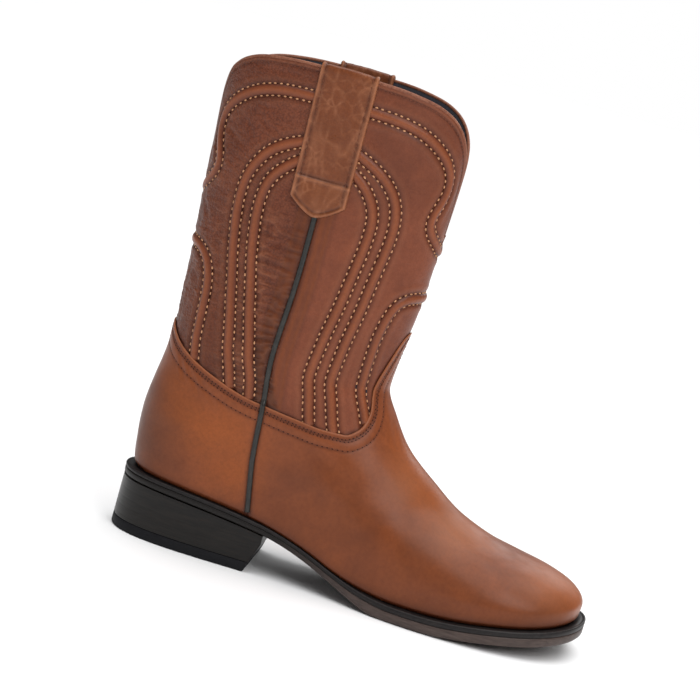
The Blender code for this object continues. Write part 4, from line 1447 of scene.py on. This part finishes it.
@dataclass
class Cord:
    """Corded row: leather drawn over a cord between two lines of stitches.

    Args:
        name: Name of the node that it takes the place of.
        row: Its centre line.
        half: Half width of the ridge.
        rise: Height of the ridge.
    """

    name: str
    row: Row
    half: float = 3.15
    rise: float = 1.15

    def build(self) -> Object:
        """A bar whose profile is rise times (1 - |s| to the 2.2) to the 0.8, with s from -1 to 1 across
        the ridge, and puckers that repeat with the stitches."""
        row = self.row
        steps = len(row.angle)
        across = np.sin(np.linspace(-0.5, 0.5, 11) * np.pi)
        pull = np.cos(2.0 * np.pi * row.length / STITCH_PITCH)[:, None]
        ends = np.minimum(row.length, row.length[-1] - row.length)[:, None]
        sunk = 1.3 * (1.0 - ease(ends / 2.0))
        dome = self.rise * (1.0 - np.abs(across[None, :]) ** 2.2) ** 0.8
        pucker = 0.10 * pull * np.abs(across[None, :]) ** 1.5 + 0.05 * np.sin(row.length * 5.1)[:, None]
        top = dome - 0.52 * np.abs(across[None, :]) ** 3 + pucker - sunk
        base = np.full((steps, 2), -0.95)
        side = np.concatenate([np.broadcast_to(across * self.half, (steps, 11)),
                               np.broadcast_to([self.half * 0.8, -self.half * 0.8], (steps, 2))], axis=1)
        high = np.concatenate([top, base], axis=1)
        loops = row.moved(side, high)
        flank = np.concatenate([np.broadcast_to(np.abs(across), (steps, 11)), np.ones((steps, 2))], axis=1)
        crest = np.clip(1.0 - flank * 1.2, 0.0, 1.0)
        # painted shade on the flanks, painted highlight and orange tone on the crest
        marks = {"dark": 0.72 * flank**2.4, "lift": 0.10 * crest, "warm": 0.42 * crest,
                 "pebble": 0.35 * crest, "shade": 0.16 + 0.14 * flank**2}
        thing = strip(self.name + "_ridge", loops, CORD, False, marks)
        finish_piece(thing, "cord_leather", self.name)
        return thing


@dataclass
class CollarBead:
    """Thin tan roll on the edge of the collar.

    Args:
        stations: Points round the boot.
        radius: Radius of the roll.
        crowding: Degrees by which stations draw together in the notches of front and back.
    """

    stations: int = 520
    radius: float = 0.95
    crowding: float = 6.0

    def build(self) -> Object:
        """A tube whose ring is 10 points round the middle of the wall."""
        even = np.arange(self.stations) * 360.0 / self.stations
        angles = even - self.crowding * np.sin(np.radians(2.0 * even))
        here, normal, past = LAST.rim_frame(angles)
        turn = np.arange(10) * 2.0 * np.pi / 10.0
        side = np.cos(turn)[None, :, None] * self.radius
        up = (np.sin(turn)[None, :, None] * self.radius * 1.1) + 0.75
        loops = here[:, None] + normal[:, None] * side + past[:, None] * up
        thing = strip("collar_bead", loops, BEAD, True)
        finish_piece(thing, "binding_leather", "collar_binding")
        return thing


@dataclass
class PullStrap:
    """Band folded over the collar with rolled edges and a rounded pointed tab below a cross line.

    Args:
        side: Side of the foot.
        middle: Angle of its centre line.
        tab_height: Height of the cross line above the tab.
        shown: Length from the tip on which the outside has its stitches and its tab.
    """

    side: Side
    middle: float
    tab_height: float = 235.0
    shown: float = 80.0

    def surfaces(self, across: Array) -> tuple[Array, Array, Array]:
        """Under side and outward direction of the band at every station.

        Args:
            across: Shares of the half width, -1 to 1.

        Returns:
            Points, directions and length from the tip, as stations by columns.
        """
        angles = self.middle + across * STRAP_HALF_ANGLE
        tip = STRAP_TIP + STRAP_CORNER * np.abs(across) ** 1.5
        rim = LAST.level_at(angles, LAST.collar_height(angles))
        start = LAST.level_at(angles, tip)
        stop = LAST.level_at(angles, np.full_like(angles, STRAP_INNER_END))
        here, normal, past = LAST.rim_frame(angles)
        points, ways = [], []
        for t in np.linspace(0.0, 1.0, coarse(120)):
            level = start + (rim - start) * t
            points.append(LAST.raised(level, angles, np.full_like(angles, GAP)))
            ways.append(LAST.outward(level, angles))
        for turn in np.linspace(0.0, np.pi, coarse(22))[1:-1]:
            side, up = math.cos(turn), math.sin(turn)
            side, up = math.copysign(abs(side) ** 0.55, side), up**0.55
            points.append(here + normal * (WALL / 2.0 + GAP) * side + past * 2.3 * up)
            ways.append(unit(normal * side + past * up))
        for t in np.linspace(1.0, 0.0, coarse(40)):
            level = stop + (rim - stop) * t
            points.append(LAST.raised(level, angles, np.full_like(angles, -WALL - GAP)))
            ways.append(-LAST.outward(level, angles))
        points, ways = np.array(points), np.array(ways)
        step = np.linalg.norm(np.diff(points, axis=0), axis=2)
        length = np.concatenate([np.zeros((1, len(across))), np.cumsum(step, axis=0)])
        return points, ways, length

    def build(self) -> Object:
        """A band 1.35 mm thick, plus a roll on both edges, less a stitch groove, plus the puffed tab and
        its lip."""
        across = np.sin(np.linspace(-0.5, 0.5, 41) * np.pi)
        points, ways, length = self.surfaces(across)
        width = np.abs(across)[None, :] * STRAP_HALF_WIDTH
        rim_away = np.minimum(STRAP_HALF_WIDTH - width, np.minimum(length, 60.0))
        outside = length < self.shown
        lip_at = length - (self.tab_height - STRAP_TIP - STRAP_CORNER * np.abs(across) ** 1.5)
        roll = 0.55 * bell(rim_away - 1.1, 1.0) - 0.30 * bell(rim_away - 3.2, 0.7)
        tab = ease(rim_away / 5.0) * (1.0 - ease((lip_at + 0.6) / 0.8)) * outside
        soft = 0.16 * cloud(width * 0.16 + across * 4.0, length * 0.10, 41)
        lip = 0.55 * bell(lip_at + 0.9, 0.7) - 0.45 * bell(lip_at - 0.5, 0.6)
        lip = outside * lip * ease(rim_away / 3.0)
        thick = 1.35 + roll + 0.42 * tab + soft * ease(rim_away / 4.0) + lip
        round_edge = np.sqrt(np.clip(1.0 - np.clip(1.0 - rim_away / 0.9, 0.0, 1.0) ** 2, 0.02, 1.0))
        top = points + ways * (thick * round_edge)[..., None]
        loops = np.concatenate([top, points[:, ::-1]], axis=1)
        # painted highlight on the rolled edges and on the tab's lip; painted shade in the stitch groove and
        # under the lip
        roll_and_lip_highlight = 0.50 * bell(rim_away - 0.9, 0.9) + outside * 0.5 * bell(lip_at + 1.0, 0.7)
        deep = 0.62 * bell(rim_away - 3.0, 0.9) + outside * 0.75 * bell(lip_at - 0.4, 0.8)
        bend = 0.8 * cloud(across * 2.0, length * 0.05, 3)
        veins = (1.0 - np.abs(cloud(across * 3.4 + bend, length * 0.075, 6))) ** 9
        # lift adds pale crackle veins to the painted highlight; shade darkens the whole band evenly
        marks = {"dark": np.clip(deep, 0, 1), "lift": np.clip(roll_and_lip_highlight + 0.34 * veins, 0, 1),
                 "warm": 0.15 + 0.25 * tab, "pebble": 0.35 * ease(rim_away / 3.0),
                 "shade": np.full_like(length, 0.24)}
        marks = {key: np.concatenate([value, 0.3 * value[:, ::-1]], axis=1) for key, value in marks.items()}
        name = f"pull_strap_{self.side.value}"
        thing = strip(name + "_band", loops, STRAP, False, marks)
        finish_piece(thing, "strap_leather", name)
        return thing

    def stitch_row(self) -> tuple[Array, Array, Array]:
        """Even stations of the thread inside both edges: points, the way along and the way out."""
        rows = []
        for share in (-0.80, 0.80):
            points, ways, length = self.surfaces(np.array([share, share + 0.002]))
            keep = length[:, 0] < self.shown + 6.0
            at = np.arange(2.0, length[keep, 0].max(), 3.4)
            spot = np.stack([np.interp(at, length[:, 0], points[:, 0, k]) for k in range(3)], axis=1)
            way = unit(np.stack([np.interp(at, length[:, 0], ways[:, 0, k]) for k in range(3)], axis=1))
            rows.append((spot + way * 1.15, unit(np.gradient(spot, axis=0)), way))
        return tuple(np.concatenate(part) for part in zip(*rows))


@dataclass
class SeamPiping:
    """Black bead over the side seam, from the strap to the sole."""

    side: Side
    row: Row
    half: float = 1.55
    rise: float = 1.4

    def build(self) -> Object:
        """A half-round bar that climbs from the shaft onto the vamp, with a faint twist."""
        row = self.row
        edge = LAST.panel_height(row.angle)
        base = 0.1 + STEP * ease((edge + 4.0 - row.point[:, 2]) / 3.0)
        turn = np.linspace(-0.08, 1.08, 13) * np.pi
        side = -np.cos(turn) * self.half
        twist = 0.04 * np.sin(2.0 * np.pi * (row.length[:, None] / 3.2 - turn[None, :] / np.pi * 0.7))
        high = np.sin(turn)[None, :] * (self.rise + twist) + base[:, None]
        high = np.concatenate([high, np.full((len(base), 2), -0.8)], axis=1)
        wide = np.concatenate([side, [self.half * 0.7, -self.half * 0.7]])
        loops = row.moved(np.broadcast_to(wide, high.shape), high)
        name = f"seam_piping_{self.side.value}"
        thing = strip(name + "_bead", loops, PIPING, False)
        finish_piece(thing, "piping_leather", name)
        return thing


@dataclass
class SoleRing:
    """Part of the sole made of rings round the boot, closed in the middle by rings that shrink to a line.

    Args:
        name: Name of the object.
        node: Node that it takes the place of.
        slot: Material slot of the record.
        finish: What it is covered with.
        stations: Points round.
    """

    name: str
    node: str
    slot: str
    finish: Plain
    stations: int = 720

    def ring(self, out: float, rule: str, up: float) -> Array:
        """One ring: the edge of the welt moved out by a distance, at a named height plus a rise."""
        angles = np.arange(self.stations) * 360.0 / self.stations
        margin = LAST.welt_margin(LAST.body(0.0, angles)[:, 0])
        plan = LAST.plan_ring(angles, margin + out if rule != "inside" else np.full(self.stations, out))
        x = plan[:, 0]
        heights = {
            "seat": LAST.seat(x),
            "inside": LAST.seat(x),
            "under_welt": LAST.seat(x) - LAST.welt_thickness(x),
            "sole": LAST.underside(x),
        }
        return np.column_stack([plan, heights[rule] + up])

    def closed(self, rings: list[Array], caps: int = 12) -> Object:
        """Joins the rings and closes the first and the last over a line along the middle.

        Args:
            rings: Rings from the bottom to the top.
            caps: How many rings each cap has.

        Returns:
            The object.
        """
        half = (1.0 - np.cos(np.arange(self.stations) * 2.0 * np.pi / self.stations)) / 2.0
        stacks = []
        for ring, back in ((rings[0], True), (rings[-1], False)):
            low, high = ring[:, 0].min(), ring[:, 0].max()
            x = low + 28.0 + (high - low - 62.0) * half
            rule = LAST.underside if back else LAST.seat
            level = rule(x) + (ring[:, 2] - rule(ring[:, 0])).mean()
            spine = np.column_stack([x, LAST.swing(x), level])
            cap = []
            for share in np.linspace(0.0, 1.0, caps + 1)[1:]:
                mixed = ring + (spine - ring) * share
                gap = (ring[:, 2] - rule(ring[:, 0])) * (1 - share) + (level - rule(x)) * share
                mixed[:, 2] = rule(mixed[:, 0]) + gap
                cap.append(mixed)
            stacks.append(cap)
        rows = stacks[0][::-1] + rings + stacks[1]
        points = np.concatenate(rows)
        number = np.arange(len(points)).reshape(len(rows), self.stations)
        count = np.arange(self.stations)
        mirror = np.minimum(count, (self.stations - count) % self.stations)
        number[0] = number[0][mirror]
        number[-1] = number[-1][mirror]
        faces = grid_faces(len(rows), self.stations, False, True)
        faces = number.ravel()[faces]
        used, back_to = np.unique(faces, return_inverse=True)
        thing = make_piece(self.name, points[used], [back_to.reshape(faces.shape)], self.finish)
        finish_piece(thing, self.slot, self.node)
        return thing


@dataclass
class Welt(SoleRing):
    """Strip round the boot between the upper and the outsole, with fine ribs across its top."""

    def build(self) -> Object:
        """Rings round a closed profile; the ribs are a cosine of the length round the edge."""
        profile = (
            (-0.2, "under_welt", 0.0), (0.0, "under_welt", 0.4), (0.0, "seat", -0.75),
            (-0.25, "seat", -0.2), (-0.8, "seat", 0.05), (-1.5, "seat", -0.05), (-1.9, "seat", -0.35),
            (-2.4, "seat", -0.1),
        )
        rings = [self.ring(*row) for row in profile]
        length = np.cumsum(np.linalg.norm(np.diff(rings[4], axis=0, append=rings[4][:1]), axis=1))
        for number in (3, 4, 5):
            rings[number][:, 2] += 0.10 * np.cos(length * 2.0 * np.pi / 2.4)
        rings.append(self.ring(-WALL, "inside", 0.0))
        rings.append(self.ring(-WALL, "inside", -1.9))
        points = np.concatenate(rings)
        faces = [grid_faces(len(rings), self.stations, True, True)]
        thing = make_piece(self.name, points, faces, self.finish)
        finish_piece(thing, self.slot, self.node)
        return thing


@dataclass
class Outsole(SoleRing):
    """Leather sole with a rounded edge."""

    def build(self) -> Object:
        """Rings from the underside round the edge to the top."""
        profile = (
            (-2.2, "sole", 0.0), (-1.0, "sole", 0.35), (-0.35, "sole", 0.95), (-0.08, "sole", 1.7),
            (-0.05, "under_welt", -1.1), (-0.25, "under_welt", -0.5), (-0.8, "under_welt", -0.15),
        )
        return self.closed([self.ring(*row) for row in profile])


@dataclass
class Insole(SoleRing):
    """Footbed with its sock lining."""

    def build(self) -> Object:
        """Rings from the underside round a soft edge to the top."""
        out = -WALL - GAP - 0.3
        rings = [self.ring(out, "inside", -1.6), self.ring(out, "inside", INSOLE_RISE - 0.7),
                 self.ring(out - 0.6, "inside", INSOLE_RISE)]
        return self.closed(rings)


@dataclass
class HeelBlock:
    """One storey of the heel: round at the back, straight across the breast.

    Args:
        name: Name of the object.
        node: Node that it takes the place of.
        slot: Material slot of the record.
        finish: What it is covered with.
        rubber: True for the cap on the floor, False for the leather stack.
    """

    name: str
    node: str
    slot: str
    finish: Plain
    rubber: bool
    side_points: int = 150
    breast_points: int = 40

    def ring(self, z: float, inset: float) -> Array:
        """Outline at a height: the welt's edge from the back to the breast, drawn in towards the floor."""
        turns = np.arange(720) * 0.5
        plan = LAST.plan_ring(turns, LAST.welt_margin(LAST.body(0.0, turns)[:, 0]) - 0.4)
        outer, inner = plan[:361], np.concatenate([plan[360:], plan[:1]])[::-1]
        top_x = plan[0, 0]
        back = top_x + (HEEL_BACK_BOTTOM - top_x) * (HEEL_TOP - min(z, HEEL_TOP)) / HEEL_TOP + inset
        breast = HEEL_BREAST_BOTTOM + (HEEL_BREAST_TOP - HEEL_BREAST_BOTTOM) * min(z, 24.0) / 24.0 - inset
        share = 1.0 - np.cos(np.linspace(0.0, np.pi / 2.0, self.side_points))
        source = top_x + (HEEL_BREAST_TOP - top_x) * share
        x = back + (breast - back) * share
        drawn = np.interp(z, (0.0, CAP_HEIGHT, 14.0, HEEL_TOP), (0.975, 0.975, 0.985, 1.0))
        shrink = drawn - inset / 34.0
        y_out = np.interp(source, outer[:, 0], outer[:, 1]) * shrink
        y_in = np.interp(source, inner[:, 0], inner[:, 1]) * shrink
        first = np.column_stack([x, y_out])
        second = np.column_stack([x, y_in])[1:][::-1]
        across = np.linspace(0.0, 1.0, self.breast_points + 2)[1:-1, None]
        face = first[-1] + (second[0] - first[-1]) * across
        outline = np.concatenate([first, face, second])
        return np.column_stack([outline, np.full(len(outline), z)])

    def build(self) -> Object:
        """Rings up the block with faint grooves between the lifts; the cap's lower edge is toothed."""
        rings = []
        if self.rubber:
            profile = ((0.0, 0.7), (0.5, 0.2), (1.0, 0.0), (CAP_HEIGHT - 0.4, 0.0), (CAP_HEIGHT, 0.3))
            rings = [self.ring(z, inset) for z, inset in profile]
            wave = np.cumsum(np.linalg.norm(np.diff(rings[1], axis=0, append=rings[1][:1]), axis=1))
            teeth = 0.22 * (0.5 + 0.5 * np.sign(np.sin(wave * 2.0 * np.pi / 2.2)))
            rings[1][:, 2] += teeth
        else:
            for z in np.linspace(CAP_HEIGHT + GAP, HEEL_TOP, 60):
                groove = 0.10 * float(bell(np.array((z - 6.6) % 5.2 - 2.6), 0.35))
                rings.append(self.ring(z, groove + 0.04 * math.sin(z * 9.0)))
        points = np.array(rings)
        if not self.rubber:
            top = LAST.underside(points[-1, :, 0]) - GAP
            low, share = CAP_HEIGHT + GAP, np.linspace(0.0, 1.0, len(rings))[:, None]
            points[..., 2] = low + (top[None, :] - low) * share
        thing = strip(self.name, points, self.finish, False)
        finish_piece(thing, self.slot, self.node)
        return thing


def ball(rings: int, around: int) -> tuple[Array, list[Array]]:
    """Unit ball with two poles and equal rings."""
    turn = np.arange(around) * 2.0 * np.pi / around
    tilt = (np.arange(rings) + 1.0) * np.pi / (rings + 1.0)
    body = np.stack([np.repeat(np.cos(tilt), around), np.outer(np.sin(tilt), np.cos(turn)).ravel(),
                     np.outer(np.sin(tilt), np.sin(turn)).ravel()], axis=1)
    points = np.concatenate([body, [[1.0, 0.0, 0.0], [-1.0, 0.0, 0.0]]])
    first, last = np.arange(around), (rings - 1) * around + np.arange(around)
    near = np.stack([first, np.roll(first, -1), np.full(around, rings * around)], axis=1)
    far = np.stack([np.roll(last, -1), last, np.full(around, rings * around + 1)], axis=1)
    faces = [np.concatenate([near, far])]
    if rings > 1:
        faces.append(grid_faces(rings, around, False, True))
    return points, faces


def scattered(name: str, laid: list[tuple[Array, Array]], size: tuple[float, float, float],
              finish: Plain, slot: str, form: tuple[int, int]) -> Object:
    """Many equal small bodies joined in one mesh: point = place + axes times size times unit ball.

    Args:
        name: Name of the object.
        laid: Tables of places, each with its table of three axes as place, axis, and x, y, z.
        size: Half lengths along the three axes.
        finish: What they are covered with.
        slot: Material slot of the record.
        form: Rings and points round of each body.

    Returns:
        The object.
    """
    place, frame_at = (np.concatenate(tables) for tables in zip(*laid))
    shape, faces = ball(*form)
    points = place[:, None] + np.einsum("vk,nkc->nvc", shape * np.array(size), frame_at)
    shift = (np.arange(len(place)) * len(shape))[:, None, None]
    tables = [(table[None] + shift).reshape(-1, table.shape[1]) for table in faces]
    thing = make_piece(name, points.reshape(-1, 3), tables, finish)
    finish_piece(thing, slot)
    return thing


def below(row: Row, distance: float) -> Row:
    """The line that runs a distance under a row round the boot: the lower of its two side lines."""
    even = row.even(STITCH_SPACING)
    lines = [even.beside(way * distance, STITCH_SPACING) for way in (-1.0, 1.0)]
    return min(lines, key=lambda line: float(line.point[:, 2].mean()))


@dataclass
class StitchWork:
    """Thread and needle holes along rows of the finished leather."""

    relief: Relief

    def along(self, row: Row, foot: bool, pitch: float, lift: float,
              phase: float = 0.0) -> tuple[Array, Array]:
        """Even places on a row with their axes: along, across and out.

        Args:
            row: The line.
            foot: Whether it lies on the vamp or the counter.
            pitch: Distance between stitches.
            lift: Height above the leather.
            phase: Shift along the line.

        Returns:
            Places and axes.
        """
        fine = row.even(STITCH_SPACING)
        last, end = len(fine.length) - 1, fine.length[-1]
        at = np.arange(pitch * 0.5 + phase, end - 0.3, pitch)
        pick = np.clip(np.round(at / max(end, 0.1) * last).astype(int), 0, last)
        points = self.relief.raised(fine, foot, lift)[pick]
        axes = np.stack([fine.run[pick], fine.side[pick], fine.normal[pick]], axis=1)
        return points, axes

    def cords(self) -> None:
        """Tan thread with a dark disc of painted shade at the needle hole of each stitch, on both sides of
        every corded row.
        """
        for panel in Panel:
            thread, holes = [], []
            for name, row in self.relief.cords.items():
                if panel.value not in name:
                    continue
                for way in (-ROW_APART, ROW_APART):
                    line = row.beside(way, STITCH_SPACING)
                    thread.append(self.along(line, False, STITCH_PITCH, 0.16))
                    holes.append(self.along(line, False, STITCH_PITCH, 0.02, -1.45))
            word, slot = panel.value, "cord_leather"
            scattered(f"cord_thread_{word}", thread, (0.92, 0.56, 0.46), THREAD, slot, (4, 6))
            scattered(f"cord_hole_shades_{word}", holes, (0.55, 0.50, 0.12), HOLE_SHADE, slot, (1, 8))

    def panel_rows(self) -> None:
        """Dark double row under the edge of the vamp and the counter, and the second row below it."""
        thread, holes = [], []
        for distance, pitch in ((2.4, 2.3), (3.9, 2.3), (9.4, 3.0)):
            line = below(self.relief.edge, distance)
            thread.append(self.along(line, True, pitch, 0.05))
            # dark discs of painted shade at the needle holes, between the stitches
            holes.append(self.along(line, True, pitch, 0.02, pitch / 2.0))
        scattered("panel_thread", thread, (0.72, 0.34, 0.24), TONE_THREAD, "shaft_leather", (3, 6))
        scattered("panel_hole_shades", holes, (0.62, 0.52, 0.12), HOLE_SHADE, "shaft_leather", (1, 6))

    def collar_row(self) -> None:
        """Fine dark row in the groove under the collar's roll."""
        line = below(self.relief.rim, 2.6)
        thread = [self.along(line, False, 2.4, 0.08)]
        scattered("collar_thread", thread, (0.75, 0.30, 0.26), TONE_THREAD, "shaft_leather", (3, 6))

    def straps(self, straps: list[PullStrap]) -> None:
        """Small thread inside both edges of the pull straps."""
        thread = []
        for strap in straps:
            points, run, out = strap.stitch_row()
            thread.append((points, np.stack([run, unit(np.cross(run, out)), out], axis=1)))
        scattered("strap_thread", thread, (0.75, 0.32, 0.26), TONE_THREAD, "strap_leather", (3, 6))


@dataclass(frozen=True)
class Studio:
    """White sweep, soft boxes and the camera at the photo's angle.

    Args:
        eye: Camera place in the boot's own millimetres.
        lens: Focal length in millimetres.
        sensor: Width of the sensor in millimetres.
        azimuth: Degrees round from a straight side view towards the toe.
        tilt: Degrees above the floor.
        roll: Degrees by which the picture is turned.
        middle_px: Point of the photo that the camera turns to.
        half_px: Half the width of the photo.
        focal_px: Focal length in the photo's pixels.
    """

    eye: tuple[float, float, float] = (245.01107858, -1326.11882468, 360.09683888)
    lens: float = 117.57
    sensor: float = 36.0
    azimuth: float = 3.2
    tilt: float = 9.0
    roll: float = 15.7
    middle_px: tuple[float, float] = (263.5, 341.0)
    half_px: float = 350.0
    focal_px: float = 2025.0

    def floor(self) -> None:
        """Pale matt floor with a faint procedural mottling."""
        mesh = bpy.data.meshes.new("studio_floor")
        mesh.from_pydata([(-9, -9, 0), (9, -9, 0), (9, 9, 0), (-9, 9, 0)], [], [(0, 1, 2, 3)])
        thing = bpy.data.objects.new("studio_floor", mesh)
        bpy.context.scene.collection.objects.link(thing)
        finish = Plain("floor", (250, 250, 250), (246, 246, 247), 0.75, 3.0, 0.0)
        mesh.materials.append(finish.material())
        thing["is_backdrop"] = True

    def lamp(self, name: str, place: tuple[float, float, float], aim: tuple[float, float, float],
             size: float, power: float, colour: tuple[float, float, float] = (1.0, 1.0, 1.0)) -> None:
        """One square soft box that faces a point."""
        data = bpy.data.lights.new(name, "AREA")
        data.shape = "SQUARE"
        data.size = size
        data.energy = power
        data.color = colour
        thing = bpy.data.objects.new(name, data)
        thing.location = place
        thing.rotation_euler = (Vector(aim) - Vector(place)).to_track_quat("-Z", "Y").to_euler()
        bpy.context.scene.collection.objects.link(thing)
        thing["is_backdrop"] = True

    def sun(self) -> None:
        """Broad light from straight above, which keeps the floor white all over."""
        data = bpy.data.lights.new("overhead", "SUN")
        data.energy = 2.9
        data.angle = 1.2
        thing = bpy.data.objects.new("overhead", data)
        bpy.context.scene.collection.objects.link(thing)
        thing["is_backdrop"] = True

    def lights(self) -> None:
        """Key from the front right above, weak fill from the left, a rim from behind, top light and sky."""
        self.lamp("key", (0.85, -1.15, 1.15), (0.0, 0.0, 0.14), 1.0, 13.0)
        self.lamp("fill", (-1.1, -1.2, 0.55), (0.0, 0.0, 0.15), 1.2, 0.9, (0.93, 0.95, 1.0))
        self.lamp("rim", (0.5, 1.3, 0.9), (0.0, 0.0, 0.15), 0.9, 5.0)
        self.sun()
        self.sky()

    def sky(self) -> None:
        """White surround, weaker for everything but what the camera sees of it."""
        world = bpy.data.worlds.new("studio")
        bpy.context.scene.world = world
        world.use_nodes = True
        tree = world.node_tree
        back = tree.nodes["Background"]
        path = tree.nodes.new("ShaderNodeLightPath")
        mix = tree.nodes.new("ShaderNodeMix")
        mix.data_type = "FLOAT"
        mix.inputs[2].default_value = 0.20
        mix.inputs[3].default_value = 1.0
        tree.links.new(path.outputs["Is Camera Ray"], mix.inputs[0])
        tree.links.new(mix.outputs[0], back.inputs["Strength"])
        back.inputs["Color"].default_value = (1.0, 1.0, 1.0, 1.0)

    def camera(self) -> None:
        """Camera at the photo's place, rolled as there and turned so that the boot is in the middle."""
        a, e, r = (math.radians(v) for v in (self.azimuth, self.tilt, self.roll))
        back = np.array([math.sin(a) * math.cos(e), -math.cos(a) * math.cos(e), math.sin(e)])
        right = unit(np.cross(-back, [0.0, 0.0, 1.0]))
        up = np.cross(right, -back)
        across = math.cos(r) * right + math.sin(r) * up
        upward = -math.sin(r) * right + math.cos(r) * up
        shift = [(place - self.half_px) / self.focal_px for place in self.middle_px]
        look = unit(-back + across * shift[0] - upward * shift[1])
        across = unit(across - look * float(across @ look))
        upward = np.cross(across, look)
        place = (np.array(self.eye) - MIDDLE) * MM
        data = bpy.data.cameras.new("camera")
        data.lens = self.lens
        data.sensor_width = self.sensor
        data.clip_end = 20.0
        thing = bpy.data.objects.new("camera", data)
        turned = Matrix.Identity(4)
        for column, axis in enumerate((across, upward, -look)):
            for line in range(3):
                turned[line][column] = float(axis[line])
        turned.translation = Vector(place)
        thing.matrix_world = turned
        bpy.context.scene.collection.objects.link(thing)
        bpy.context.scene.camera = thing
        thing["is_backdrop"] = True


def plain_sizes(bounds: object) -> object:
    """Bounds as plain nested lists."""
    if isinstance(bounds, dict):
        return {str(key): plain_sizes(value) for key, value in bounds.items()}
    if isinstance(bounds, (list, tuple, Vector, Array)):
        return [plain_sizes(value) for value in bounds]
    return float(bounds) if isinstance(bounds, (int, float, np.floating)) else bounds


def main() -> None:
    """Builds every piece, dresses it, and sets the studio."""
    logging.basicConfig(level=logging.INFO, format="%(relativeCreated)6d %(name)s %(message)s")
    for name in ("Cube", "Light", "Camera"):
        if name in bpy.data.objects:
            bpy.data.objects.remove(bpy.data.objects[name])
    before = plain_sizes(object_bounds())
    relief = Relief()
    UpperPanel("shaft_front", Panel.FRONT, False, 250, 230).build(relief)
    UpperPanel("shaft_back", Panel.BACK, False, 250, 230).build(relief)
    UpperPanel("vamp", Panel.FRONT, True, 400, 190).build(relief)
    UpperPanel("counter", Panel.BACK, True, 220, 120).build(relief)
    Lining().build()
    for name, row in relief.cords.items():
        Cord(name, row).build()
    CollarBead().build()
    straps = [PullStrap(Side.LATERAL, 90.0), PullStrap(Side.MEDIAL, 270.0)]
    for strap in straps:
        strap.build()
    for side, row in relief.seams.items():
        SeamPiping(side, row).build()
    Welt("welt_strip", "welt", "welt_leather", WELT_TOP).build()
    Outsole("outsole_leather", "outsole", "sole_leather", SOLE_EDGE).build()
    Insole("insole_board", "insole", "insole_board", LINING, 240).build()
    HeelBlock("heel_lifts", "heel_stack", "heel_leather", STACK, False).build()
    HeelBlock("heel_rubber_cap", "heel_cap", "heel_rubber", RUBBER, True).build()
    work = StitchWork(relief)
    work.cords()
    work.panel_rows()
    work.collar_row()
    work.straps(straps)
    studio = Studio()
    studio.floor()
    studio.lights()
    studio.camera()
    bpy.context.scene.view_settings.view_transform = "Standard"
    after = plain_sizes(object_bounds())


if __name__ == "__main__":
    main()
